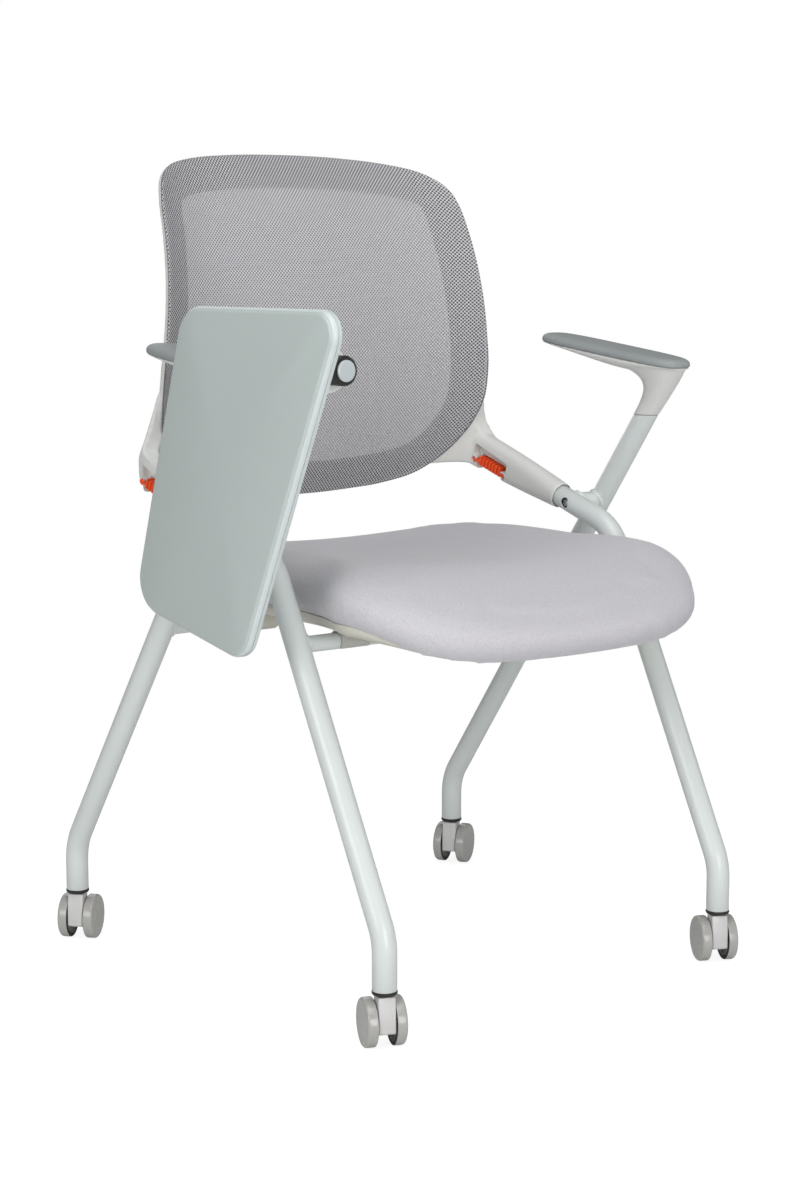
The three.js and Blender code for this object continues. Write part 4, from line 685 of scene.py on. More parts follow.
def net_finish():
    """Strands where two waves of the cut's own coordinates add up high or low, and between them a dark grey that lets
    some light through: painted shade in the knit's openings."""
    material = finish("back_net", screen(208, 207, 210), 0.7, patch=5, drift=0.05, grain=3000, relief=0.00002)
    tree = material.node_tree
    shader, bump = tree.nodes["Principled BSDF"], tree.nodes["Bump"]
    tone = shader.inputs["Base Color"].links[0].from_socket
    cut_place = shader_node(tree, "UVMap", uv_map="cut")
    apart = shader_node(tree, "SeparateXYZ")
    tree.links.new(cut_place.outputs[0], apart.inputs[0])

    def maths(operation, *values):
        step = shader_node(tree, "Math", operation=operation)
        for socket, value in zip(step.inputs, values):
            if isinstance(value, (int, float)):
                socket.default_value = value
            else:
                tree.links.new(value, socket)
        return step.outputs[0]

    across, up = (maths("COSINE", maths("MULTIPLY", place, 2 * math.pi / LATTICE)) for place in apart.outputs[:2])
    hole = shader_node(tree, "MapRange", {"From Min": 0.35, "From Max": 1.1})
    tree.links.new(maths("ABSOLUTE", maths("ADD", across, up)), hole.inputs["Value"])
    strand = shader_node(tree, "Mix", data_type="RGBA")
    # The openings between strands are dark grey and mostly opaque: painted shade in the knit's openings, not a
    # backing.
    strand.inputs[7].default_value = screen(84, 83, 88)
    tree.links.new(hole.outputs[0], strand.inputs[0])
    tree.links.new(tone, strand.inputs[6])
    tree.links.new(strand.outputs[2], shader.inputs["Base Color"])
    tree.links.new(maths("SUBTRACT", 1.0, maths("MULTIPLY", hole.outputs[0], 0.2)), shader.inputs["Alpha"])
    bump.inputs["Distance"].default_value = 0.0004
    tree.links.new(maths("SUBTRACT", 1.0, hole.outputs[0]), bump.inputs["Height"])
    return material


net, net_cut = net_grid()
back_net = surface("back_net", net, laid=net_cut)
dressed(back_net, net_finish(), "back_net", "backrest", "back_mesh", crease=80)
BEADS, BEAD_STEPS = 432, 6
strand_outline = mirrored_outline(back_shares, back_place, BEADS * BEAD_STEPS)
strand_line = on_back(strand_outline - outward_of(strand_outline) * 0.6, NET_LIFT + 2.5 * side_free(strand_outline))
beaded = 0.85 + 0.3 * np.cos(np.arange(BEADS * BEAD_STEPS) * 2 * np.pi / BEAD_STEPS)
strand = swept((strand_line, along_ring(strand_line)), (0, 1.0, 0), beaded, 6)
net_edge = surface("back_net_edge", strand, ring_on=True)
dressed(net_edge, finish("net_edge", screen(112, 111, 114), 0.7, grain=1500), "back_net", "backrest", crease=80)

# Springs: a ribbed block of orange elastomer in each slot, moulded in one piece and held by a round bead at
# each end, which snaps into a pocket of the slot's wall.
orange = finish("orange_elastomer", screen(250, 88, 34), 0.4, patch=40, drift=0.06, grain=1800, relief=0.00002)
BEAD, NECK = 3.7, 1.5
BLOCK_HALF, BLOCK_TOP, BLOCK_LOW = 19.8, 4.6, 1.6
RIB, RIB_PITCH, FIRST_RIB = 3.0, 35.8 / 6, 17.9


def spring_grid():
    """Rounded boxes along the slot, at a way s from its middle: bead heights follow a circle, the neck is thin, and
    on the block seven ribs step in and out by 3t^2 - 2t^3."""
    s = np.linspace(-BEAD_AT - BEAD, BEAD_AT + BEAD, 340)
    off_rib = np.abs((s + FIRST_RIB + RIB_PITCH / 2) % RIB_PITCH - RIB_PITCH / 2)
    rib = eased_step(-off_rib, -2.0, -1.4)
    block = np.clip((BLOCK_HALF - np.abs(s)) / 0.5, 0, 1)
    bead = np.sqrt(np.maximum(BEAD ** 2 - (np.abs(s) - BEAD_AT) ** 2, 0))
    thin = np.where(np.abs(s) < BEAD_AT, np.maximum(bead, NECK), bead)
    top = thin + (BLOCK_TOP + RIB * rib - thin) * block
    low = thin + (BLOCK_LOW + RIB * rib - thin) * block
    wide = 10 - 3.2 * (1 - rib) * block
    along = np.array([0, math.cos(SLOPE), math.sin(SLOPE)])
    up = np.array([0, -math.sin(SLOPE), math.cos(SLOPE)])
    centre = np.array([KNEE_X, *SLOT]) + s[:, None] * along + ((top - low) / 2)[:, None] * up
    return rings(centre, CHAIR_X, up, wide, np.maximum((top + low) / 2, 0.02), 7, 40)


for side, flip in SIDES:
    way = flip[0]
    spring = closed(f"ribbed_spring_{side}", spring_grid() * flip)
    dressed(spring, orange, "orange_elastomer", None, f"flex_spring_{side}", crease=50)
    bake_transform(spring)

# Seat cushion: moulded foam on a plywood board, upholstered in a fine knit that is pulled over the rim and
# gathered into small creases at the front corners.
SEAT_HALF, SEAT_REAR, SEAT_FRONT = 240.0, 168.0, -300.0
SEAT_MID = (SEAT_REAR + SEAT_FRONT) / 2
SEAM_Z, SEAM_DROP, DROP_LONG = 411.0, 38.0, 125.0
SEAT_Z, DISH, REAR_FALL, FRONT_FALL = 473.0, 17.0, 5.0, 42.0
TUCK, ROUND_OVER, SLACK = 13.0, 38.0, 5.0
seat_shares = np.array([
    (0, 0), (0.42, 0.002), (0.68, 0.02), (0.82, 0.09), (0.872, 0.22), (0.885, 0.4), (0.892, 0.56), (0.925, 0.64),
    (0.975, 0.72), (0.94, 0.8), (0.85, 0.87), (0.73, 0.93), (0.52, 0.975), (0.27, 0.995), (0, 1)])


def seat_place(shares):
    """Plan places of the seat's outline."""
    return np.stack([shares[:, 0] * SEAT_HALF, SEAT_REAR - shares[:, 1] * (SEAT_REAR - SEAT_FRONT)], 1)


seat_outline = mirrored_outline(seat_shares, seat_place, 192)
seat_out = outward_of(seat_outline)


def at_front(y):
    """0 behind the drop of the seam and 1 at the seat's front edge, by 3t^2 - 2t^3."""
    return eased_step(SEAT_FRONT + DROP_LONG - y, 0, DROP_LONG)


def seam_height(y):
    """Height of the fabric's lower edge, dropping toward the front."""
    return SEAM_Z - SEAM_DROP * at_front(y)


def seat_surface(x, y):
    """Sitting surface: dished across by the square of x, easing down at the rear and rolling over the front."""
    rear = eased_step(y, SEAT_MID, SEAT_REAR)
    fall = 160 + 55 * (x / SEAT_HALF) ** 2
    front = eased_step((SEAT_FRONT - y) / fall + 1, 0, 1)
    return SEAT_Z - DISH * (1 - (x / SEAT_HALF) ** 2) - REAR_FALL * rear ** 2 - FRONT_FALL * front ** 1.5


def drawn_in(rim, shares, height):
    """Copies of a rim shrunk toward the seat's middle, each point at its own height."""
    centre = np.array([0, SEAT_MID])
    flat = centre + (rim[None, :, :2] - centre) * np.asarray(shares)[:, None, None]
    return np.concatenate([flat, height(flat[..., 0], flat[..., 1])[..., None]], -1)


def cushion_grid(slack):
    """Rows from the middle of the base to the seam, up the side by a sine rise, over a rounded edge and in to the
    dished middle. What is above the seam is drawn in by the slack."""
    angle = np.linspace(-np.pi / 3, np.pi / 2, 26)
    roll = np.where(angle < 0, TUCK / (1 - math.cos(np.pi / 3)), ROUND_OVER) * (1 - np.cos(angle))
    rise = ((np.sin(angle) - np.sin(angle[0])) / (1 - np.sin(angle[0]))) ** 0.8
    flat = seat_outline[None] - seat_out[None] * (roll + slack * rise)[:, None, None]
    low, high = seam_height(flat[..., 1]) - 0.5 * slack, seat_surface(flat[..., 0], flat[..., 1]) - slack
    side = np.concatenate([flat, (low + (high - low) * rise[:, None])[..., None]], -1)
    base = drawn_in(side[0], np.linspace(0.1, 0.98, 14), lambda x, y: seam_height(y) - 0.5 * slack)
    crown = drawn_in(side[-1], np.linspace(0.97, 0.03, 30), lambda x, y: seat_surface(x, y) - slack)
    return np.concatenate([base, side, crown])


def mesh_rows(obj, field="co"):
    """The object's points in millimetres from the chair's own middle, or its normals."""
    flat = np.empty(len(obj.data.vertices) * 3, np.float32)
    obj.data.vertices.foreach_get(field, flat)
    flat = flat.reshape(-1, 3).astype(float)
    return (flat - middle) * 1000 if field == "co" else flat


def set_rows(obj, points):
    """Moves the object's points to new places in millimetres from the chair's own middle."""
    obj.data.vertices.foreach_set("co", (points / 1000 + middle).astype(np.float32).ravel())
    obj.data.update()


def above_seam(points):
    """How far points are above the fabric's lower edge."""
    return points[:, 2] - seam_height(points[:, 1])


def blown(pad, cap):
    """The pad remeshed and swollen as cloth, held at its base and seam. The foam keeps a point from going in: it
    stops between half the cap c and c, at c (1 + s) / 2, where s is m / (1 + m^4)^(1/4) of its way out m."""
    frames = 20
    baked(pad, ("REMESH", {"mode": "VOXEL", "voxel_size": 0.005}))
    start, normals = mesh_rows(pad), mesh_rows(pad, "normal")
    high = above_seam(start)
    held = pad.vertex_groups.new(name="held")
    held.add(np.flatnonzero(high < 1.5).tolist(), 1.0, "REPLACE")
    cloth = pad.modifiers.new("cloth", "CLOTH")
    cloth.settings.quality = 5
    cloth.settings.use_pressure = True
    cloth.settings.uniform_pressure_force = 4
    cloth.settings.effector_weights.gravity = 0
    cloth.settings.vertex_group_mass = "held"
    cloth.point_cache.frame_start = 1
    cloth.point_cache.frame_end = frames
    for step in range(1, frames + 1):
        scene.frame_set(step)
    baked(pad)
    scene.frame_set(1)
    least = 0.3
    limit = least + (cap - least) * eased_step(high, 0, 14)
    out = np.maximum(np.sum((mesh_rows(pad) - start) * normals, axis=1), 0) / limit
    set_rows(pad, start + normals * (limit * (1 + out / (1 + out ** 4) ** 0.25) / 2)[:, None])
    free = {"factor": 0.5, "iterations": 6, "vertex_group": "held", "invert_vertex_group": True}
    return baked(pad, ("SMOOTH", free), ("SUBSURF", {"levels": 1, "render_levels": 1}))


def gathered(pad):
    """Creases where the knit is gathered at the front corners: furrows of depth exp(-(off / wide)^2) that lean
    forward as they climb from the seam and fade out."""
    points, normals = mesh_rows(pad), mesh_rows(pad, "normal")
    high = above_seam(points)
    depth = np.zeros(len(points))
    for start, lean, tall, deep, wide in (
            (-104, -0.1, 14, 0.5, 2.4), (-119, -0.15, 20, 0.9, 2.2), (-131, -0.25, 26, 1.7, 2.2),
            (-145, -0.4, 16, 0.8, 2.0), (-158, -0.6, 22, 1.6, 2.3), (-172, -0.8, 16, 0.8, 2.4),
            (-190, -0.8, 13, 0.5, 2.6)):
        off = points[:, 1] - start - lean * high
        climb = eased_step(high, -1, 3) * (1 - eased_step(high, 0.25 * tall, tall))
        depth += deep * np.exp(-(off / wide) ** 2) * climb
    set_rows(pad, points - normals * (depth * eased_step(np.abs(points[:, 0]), 150, 190))[:, None])
    return pad


def knit_finish():
    """Small knots at scattered points, each a little lighter than the gaps between them, with a soft sheen."""
    material = finish("seat_knit", screen(207, 205, 210), 0.9, patch=4, drift=0.025, grain=1500, relief=0.00003)
    tree = material.node_tree
    shader, bump = tree.nodes["Principled BSDF"], tree.nodes["Bump"]
    shader.inputs["Sheen Weight"].default_value = 0.25
    shader.inputs["Sheen Roughness"].default_value = 0.5
    bump.inputs["Distance"].default_value = 0.0002
    tone = shader.inputs["Base Color"].links[0].from_socket
    knots = shader_node(tree, "TexVoronoi", {"Scale": 620, "Randomness": 0.7})
    between = shader_node(tree, "MapRange", {"From Max": 0.75, "To Min": 1.0, "To Max": 0.82})
    dark = shader_node(tree, "Mix", data_type="RGBA", blend_type="MULTIPLY")
    dark.inputs[0].default_value = 1
    for source, socket in (
            (tree.nodes["Texture Coordinate"].outputs["Object"], knots.inputs["Vector"]),
            (knots.outputs["Distance"], between.inputs["Value"]), (tone, dark.inputs[6]),
            (between.outputs[0], dark.inputs[7]), (dark.outputs[2], shader.inputs["Base Color"]),
            (between.outputs[0], bump.inputs["Height"])):
        tree.links.new(source, socket)
    return material


cushion = gathered(blown(closed("seat_upholstery", cushion_grid(SLACK)), SLACK + 0.5))
cushion.vertex_groups.clear()
dressed(cushion, knit_finish(), "seat_cloth", "seat", "seat_cushion", crease=80)

# Seat pan: a thin injection-moulded tray under the cushion, its rim against the fabric. The plywood board that
# it is screwed to lies inside, and keeps its CAD shape.
pan_nylon = finish("pan_nylon", screen(205, 203, 192), 0.5, patch=8, drift=0.04, grain=1100, relief=0.00002)
PAN_Z, PAN_DROP, PAN_WALL, PAN_CURVE = 394.2, 25.2, 3.0, 26.0
PAN_IN, PAN_IN_FRONT, RIM_UNDER = 11.0, 10.0, 0.7


def pan_height(y):
    """Height of the pan's floor, dropping toward the front with the seam."""
    return PAN_Z - PAN_DROP * at_front(y)


def pan_wall(shrink):
    """The tray's quarter-round wall: inset by its curve times 1 - sin, raised by 1 - cos of the way from floor to
    rim, and set further in toward the front."""
    angle = np.linspace(0, np.pi / 2, 14)[:, None, None]
    inset = PAN_IN + PAN_IN_FRONT * at_front(seat_outline[None, :, 1:]) + shrink + PAN_CURVE * (1 - np.sin(angle))
    flat = seat_outline[None] - seat_out[None] * inset
    floor_z = pan_height(flat[..., 1]) + shrink
    rim_z = seam_height(flat[..., 1]) - RIM_UNDER
    return np.concatenate([flat, (floor_z + (rim_z - floor_z) * (1 - np.cos(angle[..., 0])))[..., None]], -1)


outer_wall, inner_wall = pan_wall(0), pan_wall(PAN_WALL)
floor_under = drawn_in(outer_wall[0], np.linspace(0.1, 0.97, 10), lambda x, y: pan_height(y))
floor_above = drawn_in(inner_wall[0], np.linspace(0.97, 0.1, 10), lambda x, y: pan_height(y) + PAN_WALL)
pan = closed("seat_tray", np.concatenate([floor_under, outer_wall, inner_wall[::-1], floor_above]))
dressed(pan, pan_nylon, "pan_moulding", "seat", "seat_pan", crease=40)


def refinished(name, material):
    """A CAD node that keeps its shape and gets a finish."""
    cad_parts[name].data.materials.clear()
    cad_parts[name].data.materials.append(material)


plywood = finish("plywood", screen(194, 165, 124), 0.65, patch=18, drift=0.12, grain=260, relief=0.00008)
refinished("seat_board", plywood)

# Hinge blocks and rests: each block hangs under the pan and turns on the rear cross tube, and each sleeve clips
# over the front one, where the pan lands.
hinge_y, rest_y = leg_at(rear_turns, CROSS_Z)[1], leg_at(front_turns, CROSS_Z)[1]
BLOCK, BLOCK_X = 14.5, (136, 164)
SLEEVE, SLEEVE_X = 10.7, (150, 186)


def arc(y, radius, start, end, count):
    """Points of an arc round a cross tube, seen from the side, from one angle in degrees to another."""
    angle = np.radians(np.linspace(start, end, count))
    return np.stack([y + radius * np.cos(angle), CROSS_Z + radius * np.sin(angle)], 1)


block_outline = np.concatenate([
    [(hinge_y + BLOCK, PAN_Z - GAP), (hinge_y - BLOCK, PAN_Z - GAP)], arc(hinge_y, BLOCK, 180, 360, 25)])
sleeve_outline = np.concatenate([
    arc(rest_y, SLEEVE, -45, 225, 40), arc(rest_y, CROSS + GAP, 225, -45, 40)])
soft_grey = finish("rest_rubber", screen(186, 187, 181), 0.8, patch=20, drift=0.05, grain=1500, relief=0.00003)
for side, flip in SIDES:
    way = flip[0]
    block = plate(f"hinge_block_{side}", block_outline, 0, way * BLOCK_X[0], way * BLOCK_X[1], ease=1.2)
    bore = np.array([(way * 130, hinge_y, CROSS_Z), (way * 170, hinge_y, CROSS_Z)])
    cut(block, closed("bore", bar(bore, CROSS + GAP)))
    dressed(block, pan_nylon, "pan_moulding", "seat", f"seat_hinge_block_{side}")
    sleeve = plate(f"rest_sleeve_{side}", sleeve_outline, 0, way * SLEEVE_X[0], way * SLEEVE_X[1])
    dressed(sleeve, soft_grey, "rubber", "frame", f"seat_rest_{side}")

# Arms: a moulded nylon post plugs into each arm tube and flares into a tray, which carries a pad of soft grey
# skin over foam.
PAD_LONG, PAD_HALF, PAD_POWER = 111.0, 28.0, 3.6
PAD_Y, PAD_Z, PAD_IN = -36.0, 660.0, 6.5
TILT = math.radians(6.8)
ARM_X, ARM_Y, ARM_Z = rear_turns[2]


def on_arm(points):
    """Points of the level pad turned up at the rear by its tilt and put over the arm tube."""
    c, s = math.cos(TILT), math.sin(TILT)
    turn = np.array([(1, 0, 0), (0, c, s), (0, -s, c)])
    return points @ turn + (ARM_X - PAD_IN, PAD_Y, PAD_Z)


def pad_grid():
    """Superellipse rows that rise up the side and close in over a rounded edge to a gently crowned top."""
    turn = np.linspace(0, np.pi / 2, 12)[1:]
    inset = np.concatenate([[1.2, 0.4, 0, 0, 0], 9 * (1 - np.cos(turn))])
    height = np.concatenate([[0.3, 0.6, 1.4, 2.4, 3.2], 3.2 + 6.2 * np.sin(turn)])
    centres = np.stack([0 * height, 0 * height, height], 1)
    rows = rings(centres, CHAIR_X, (0, 1.0, 0), PAD_HALF - inset, PAD_LONG - inset, PAD_POWER, 120)
    share = np.linspace(0.94, 0.04, 12)[:, None, None]
    crown = rows[-1:] * share * (1, 1, 0) + np.array([0, 0, 1.0]) * (height[-1] + 0.9 * (1 - share ** 2))
    return np.concatenate([rows, crown])


def tray_grid():
    """Half-round sections under the pad, deepest near the post and thinning to the rear tip."""
    share = np.sin(np.linspace(-1.5, 1.5, 60))
    along = share * PAD_LONG
    half = PAD_HALF * (1 - np.abs(share) ** PAD_POWER) ** (1 / PAD_POWER)
    deep = 3 + 10 * np.minimum(eased_step(share, -1, -0.3), eased_step(-share, -1, 0.3))
    taper = np.minimum(1, half / PAD_HALF + 0.2)
    angle = np.linspace(0, np.pi, 40)[None]
    under = -(deep * taper)[:, None] * np.sin(angle) ** 0.8
    return np.stack([half[:, None] * np.cos(angle), np.broadcast_to(along[:, None], under.shape), under], -1)


def post_grid():
    """Rings that leave the tube at its own size and reach forward and sideways into the tray: front edge straight,
    rear edge flaring as the fourth power."""
    share = np.linspace(0, 1, 40)
    front_y, rear_y = PAD_Y - 0.985 * PAD_LONG, PAD_Y - 0.18 * PAD_LONG
    top_z = PAD_Z + (front_y - PAD_Y) * math.tan(TILT) - GAP
    z = ARM_Z + GAP + (top_z - ARM_Z - GAP) * share
    line = leg_at(rear_turns, z[:, None])
    bottom = TUBE / arm_run[2]
    front = ARM_Y - bottom + (front_y - ARM_Y + bottom) * share
    rear = line[:, 1] + bottom + (rear_y - line[:, 1] - bottom) * share ** 4
    aside = share ** 2.2
    centre = np.stack([line[:, 0] - PAD_IN * aside, (front + rear) / 2, z], 1)
    return rings(centre, CHAIR_X, (0, 1.0, 0), TUBE + (0.8 * PAD_HALF - TUBE) * aside, (rear - front) / 2, 2.2, 64)


pad_skin = finish("pad_skin", screen(150, 155, 156), 0.55, patch=9, drift=0.04, grain=1600, relief=0.00004)
tray = on_arm(tray_grid())
for side, flip in SIDES:
    support = fused(f"arm_bracket_{side}", [closed("tray", tray * flip), closed("post", post_grid() * flip)], 1.5, 6)
    dressed(support, pale_nylon, "pale_moulding", "frame", f"arm_support_{side}", crease=60)
    pad = closed(f"arm_cushion_{side}", on_arm(pad_grid()) * flip)
    dressed(pad, pad_skin, "pad_skin", "frame", f"arm_pad_{side}", crease=60)

# Tablet bracket: a moulded nylon arm fixed under the right arm's tray, ending in the barrel that holds the
# hub's pin.
HUB = np.array([-280.0, -248.0, 665.0])
HUB_LONG, HUB_HALF = 24.0, 14.4
BARREL, BARREL_Y = 22.0, HUB[1] + HUB_LONG / 2 + GAP


def bracket_grid():
    """Rings along a path of shares: way to the barrel, rise to it, and half width and height in barrel radii."""
    shares = spline([(0, 0, 0.55, 0.64), (0.3, 0.28, 0.64, 0.54), (0.54, 0.44, 0.68, 0.48), (0.76, 0.72, 0.68, 0.55),
                     (1, 1, 0.73, 0.59)], 40, loop=False)
    root, end = np.array([ARM_Y - 15, ARM_Z + 24]), np.array([BARREL_Y + 0.6 * BARREL, HUB[2] - 0.45 * BARREL])
    flat = root + (end - root) * shares[:, :2]
    centre = np.concatenate([np.full((40, 1), HUB[0]), flat], 1)
    return rings(centre, CHAIR_X, CHAIR_Z, shares[:, 2] * BARREL, shares[:, 3] * BARREL, 3, 48)


def turned(profile, centre, axis, count=64):
    """A profile of (place along the axis, radius) turned once round the axis."""
    axis = np.asarray(axis, float)
    reference = CHAIR_Z if abs(axis[2]) < 0.9 else CHAIR_X
    return bar(np.asarray(centre, float) + profile[:, :1] * axis, profile[:, 1], axis, reference, count)


def eased_profile(profile, radius, steps=5):
    """A turned profile with its inner corners rounded."""
    profile = np.asarray(profile, float)
    soft = eased(profile, radius, steps).reshape(len(profile), steps + 1, 2)
    return np.concatenate([profile[:1], soft[1:-1].reshape(-1, 2), profile[-1:]])


barrel_profile = eased_profile([(0, 0.01), (0, BARREL), (BARREL, BARREL), (BARREL, 0.01)], 2.2)
barrel = closed("barrel", turned(barrel_profile, (HUB[0], BARREL_Y, HUB[2]), (0, 1, 0), 72))
bracket = fused("tablet_arm", [closed("arm", bracket_grid()), barrel], 1.3, 5)
dressed(bracket, pale_nylon, "pale_moulding", "frame", "tablet_bracket", crease=60)

# Hub: a black nylon block that turns on the barrel's pin and widens toward the tablet, with a pale cap pressed
# on its front and a disc behind the tablet that lets it turn.
NECK_START, CREST, FOOT = 13.7, 23.0, 13.0
TABLET_X, DISC_THICK, DISC_HALF = -318.3, 4.0, 24.0
DISC_X = TABLET_X + GAP + DISC_THICK
hub_share = np.linspace(0, 1, 24)
crest = NECK_START + (CREST - NECK_START) * hub_share ** 1.3
foot = NECK_START + (FOOT - NECK_START) * hub_share
neck_x = HUB[0] + (DISC_X - GAP - HUB[0]) * hub_share
neck_middle = np.stack([neck_x, np.full(24, HUB[1]), HUB[2] + (crest - foot) / 2], 1)
neck = rings(neck_middle, (0, 1.0, 0), CHAIR_Z, HUB_LONG / 2 - GAP, (crest + foot) / 2, 4, 48)
drum_profile = eased_profile([(0, 0.01), (0, HUB_HALF), (HUB_LONG, HUB_HALF), (HUB_LONG, 0.01)], 2.5)
drum = turned(drum_profile, HUB - (0, HUB_LONG / 2, 0), (0, 1, 0))
hub = fused("tablet_knuckle", [closed("neck", neck), closed("drum", drum)], 0.8, 4)
dressed(hub, black_nylon, "black_moulding", "tablet_hub", "tablet_hub", crease=60)
cap_nylon = finish("cap_nylon", screen(196, 204, 207), 0.3, patch=30, drift=0.05, grain=1200, relief=0.00001,
                   coat=0.3)
cap_profile = eased_profile([(0, 0.01), (0, 10.3), (1.5, 10.3), (2.4, 8.2), (2.5, 0.01)], 0.6)
cap = closed("knuckle_cap", turned(cap_profile, HUB - (0, HUB_LONG / 2 + GAP, 0), (0, -1, 0)))
dressed(cap, cap_nylon, "pale_moulding", "tablet_hub", "hub_cap")
disc_profile = eased_profile([(0, 0.01), (0, DISC_HALF), (DISC_THICK, DISC_HALF), (DISC_THICK, 0.01)], 0.8)
disc = closed("turning_disc", turned(disc_profile, (DISC_X, HUB[1], HUB[2]), (-1, 0, 0)))
dressed(disc, black_nylon, "black_moulding", "tablet", "tablet_swivel_disc")

# Writing tablet: a pressed board with a pale two-part edge band pushed on round it, hung beside the chair from
# its hub.
BAND_BACK, GROOVE_PAINTED_SHADE = 10.5, (4.5, 5.5)
tablet_turns = [(HUB[1] + 189, HUB[2] + 57.5), (HUB[1] - 73, HUB[2] + 57.5), (HUB[1] + 89, HUB[2] - 284.5),
                (HUB[1] + 286, HUB[2] - 247.6)]


def arc_corners(turns, radius):
    """A closed outline whose corners are true arcs, each with its radius and touching both of its sides."""
    turns, radius = np.asarray(turns, float), np.asarray(radius, float)[:, None]
    back_way, on_way = np.roll(turns, 1, 0) - turns, np.roll(turns, -1, 0) - turns
    back_way /= np.linalg.norm(back_way, axis=1)[:, None]
    on_way /= np.linalg.norm(on_way, axis=1)[:, None]
    half = np.arccos(np.sum(back_way * on_way, 1)) / 2
    bisect = back_way + on_way
    bisect /= np.linalg.norm(bisect, axis=1)[:, None]
    centre = turns + bisect * radius / np.sin(half)[:, None]
    toward = np.arctan2(-bisect[:, 1], -bisect[:, 0])
    sweep = (np.pi - 2 * half)[:, None] * (np.linspace(0, 1, 14) - 0.5)[None]
    spin = np.sign(on_way[:, 0] * back_way[:, 1] - on_way[:, 1] * back_way[:, 0])[:, None]
    angle = toward[:, None] + sweep * spin
    return (centre[:, None] + radius[..., None] * np.stack([np.cos(angle), np.sin(angle)], -1)).reshape(-1, 2)


tablet_outline = arc_corners(tablet_turns, [37, 23, 32, 36])
tablet_out = outward_of(tablet_outline)
board_face = finish("tablet_board", screen(186, 196, 193), 0.4, patch=5, drift=0.025, grain=900, relief=0.00002)
band_pale = finish("tablet_band", screen(206, 214, 214), 0.38, patch=9, drift=0.03, grain=900, relief=0.00002)
edge_rows = np.array([
    (0, 1.6), (0.5, 0.5), (1.6, 0), (4.3, 0), (4.6, 0.9), (5.4, 0.9), (5.7, 0), (7.4, 0.1), (9.2, 0.9), (10.4, 2.1),
    (10.8, 3.1), (11.5, 3.3), (12.3, 3.9), (12.7, 5.6)])
inward = tablet_out * np.sign(np.sum(tablet_out * (tablet_outline.mean(0) - tablet_outline)))
flat = tablet_outline[None] + inward[None] * edge_rows[:, 1][:, None, None]
depth = np.broadcast_to(TABLET_X - edge_rows[:, 0][:, None, None], (*flat.shape[:2], 1))
tablet = closed("tablet", np.concatenate([depth, flat], -1))
dressed(tablet, board_face, "tablet_board", "tablet", "writing_tablet", crease=40)
tablet.data.materials.append(band_pale)
deep = np.array([TABLET_X - (p.center.x - middle[0]) * 1000 for p in tablet.data.polygons])
# Faces in the groove between the band's two parts keep the board's darker grey: painted shade in the groove.
on_band = (deep > 0.3) & (deep < BAND_BACK) & ~((deep > GROOVE_PAINTED_SHADE[0]) & (deep < GROOVE_PAINTED_SHADE[1]))
tablet.data.polygons.foreach_set("material_index", on_band.astype(int).tolist())

# Casters: twin 50 mm wheels on an axle through a swivelling hood, which turns on a stem in a black collar
# plugged into the leg.
WHEEL, WHEEL_HALF, WHEEL_X, TRAIL = 25.0, 5.5, 15.0, 10.0
HOOD_HALF = 8.8
YAW = {"front_right": -22.2, "front_left": -26.8, "rear_right": -49.3, "rear_left": -58.3}
caster_grey = finish("caster_nylon", screen(170, 169, 165), 0.26, patch=14, drift=0.04, grain=1300, relief=0.00002,
                     coat=0.4)
# The hood is the same caster moulding as the wheels, made paler: partly its own tone, partly painted light from the
# front lamps.
hood_grey_with_painted_light = finish("hood_nylon_with_painted_light", screen(203, 202, 201), 0.3, patch=14, drift=0.04, grain=1300, relief=0.00002,
                   coat=0.2)
wheel_profile = eased_profile([
    (-WHEEL_HALF, 3.3), (-WHEEL_HALF, 8.5), (-1.1, 8.5), (-1.1, 19), (-WHEEL_HALF, 20), (-WHEEL_HALF, WHEEL),
    (WHEEL_HALF, WHEEL), (WHEEL_HALF, 0.01)], [0.3, 0.5, 0.5, 0.5, 0.5, 1.2, 3.2, 0.1], 7)
hood_turns = [
    (-11.6, 16.6), (-12.0, 33), (-9.2, 54.3), (8.5, 54.3), (8.5, 46), (TRAIL + 11.4, 31.5), (TRAIL + 13, 25),
    (TRAIL + 9.2, 17.8), (TRAIL, 16.6)]
hood_outline = eased(hood_turns, [3.6, 6, 0.8, 0.8, 3, 4, 3.4, 3, 2], 6)
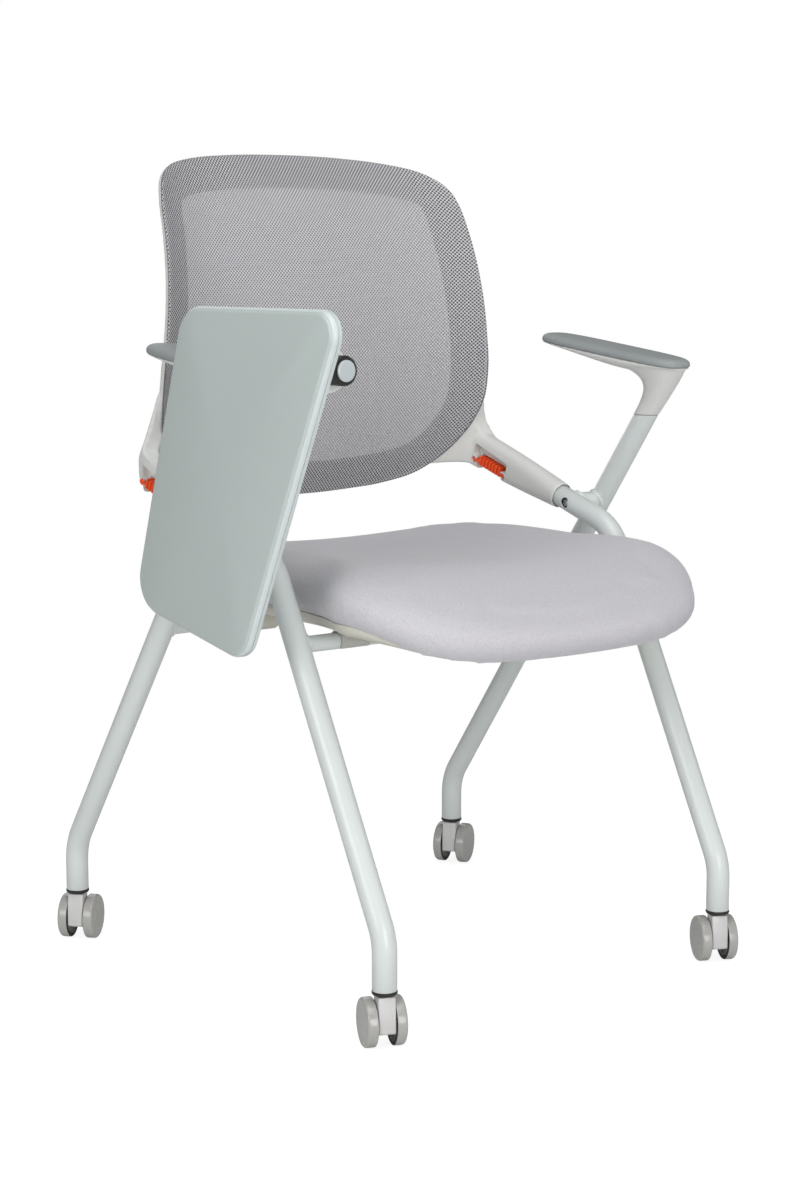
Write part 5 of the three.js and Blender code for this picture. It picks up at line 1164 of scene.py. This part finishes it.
collar_profile = eased_profile([
    (2.1, 5.3), (2.1, 10.6), (2.8, 12.3), (4.1, 13), (6, 13), (6, 10.6), (34, 10.6), (34, 5.3)], 0.5)
stem_profile = eased_profile([
    (30, 0.01), (30, 5), (50.6, 5), (50.6, 7.5), (52.6, 7.5), (52.6, 5), (92, 5), (92, 0.01)], 0.4)
for corner in corners:
    end = front_turns[0] if corner.startswith("front") else rear_turns[0]
    place = end * (1 if corner.endswith("left") else -1, 1, 0)
    yaw = math.radians(YAW[corner])
    turn = np.array([(math.cos(yaw), math.sin(yaw), 0), (-math.sin(yaw), math.cos(yaw), 0), (0, 0, 1)])
    collar_rows = turned(collar_profile, (0, 0, LEG_END - GAP - 6), CHAIR_Z) + place
    collar = surface(f"leg_collar_{corner}", collar_rows, ring_on=True)
    dressed(collar, black_nylon, "black_moulding", "frame", f"caster_collar_{corner}")
    stem = closed(f"swivel_stem_{corner}", turned(stem_profile, (0, 0, 0), CHAIR_Z) + place)
    dressed(stem, zinc, "steel", f"caster_{corner}", f"caster_stem_{corner}")
    hood = plate(f"swivel_hood_{corner}", hood_outline, 0, -HOOD_HALF, HOOD_HALF, ease=1.3)
    set_rows(hood, mesh_rows(hood) @ turn + place)
    dressed(hood, hood_grey_with_painted_light, "caster_moulding", f"caster_{corner}", f"caster_hood_{corner}")
    for mark, way in (("a", -1), ("b", 1)):
        rows = turned(wheel_profile * (way, 1), (way * WHEEL_X, TRAIL, WHEEL), CHAIR_X, 96)
        wheel = closed(f"twin_wheel_{corner}_{mark}", rows @ turn + place)
        dressed(wheel, caster_grey, "caster_moulding", f"wheel_{corner}_{mark}", f"caster_wheel_{corner}_{mark}")
        # The wheels' inner faces, toward the hood, take black nylon: painted shade in the narrow gap between wheel
        # and hood.
        wheel.data.materials.append(black_nylon)
        centres = (np.array([p.center for p in wheel.data.polygons]) - middle) * 1000 - place
        inner = centres @ turn[0] * way < WHEEL_X - WHEEL_HALF + 0.3
        wheel.data.polygons.foreach_set("material_index", inner.astype(int).tolist())

for name in ("hub_pin", *(f"caster_axle_{corner}" for corner in corners)):
    refinished(name, zinc)
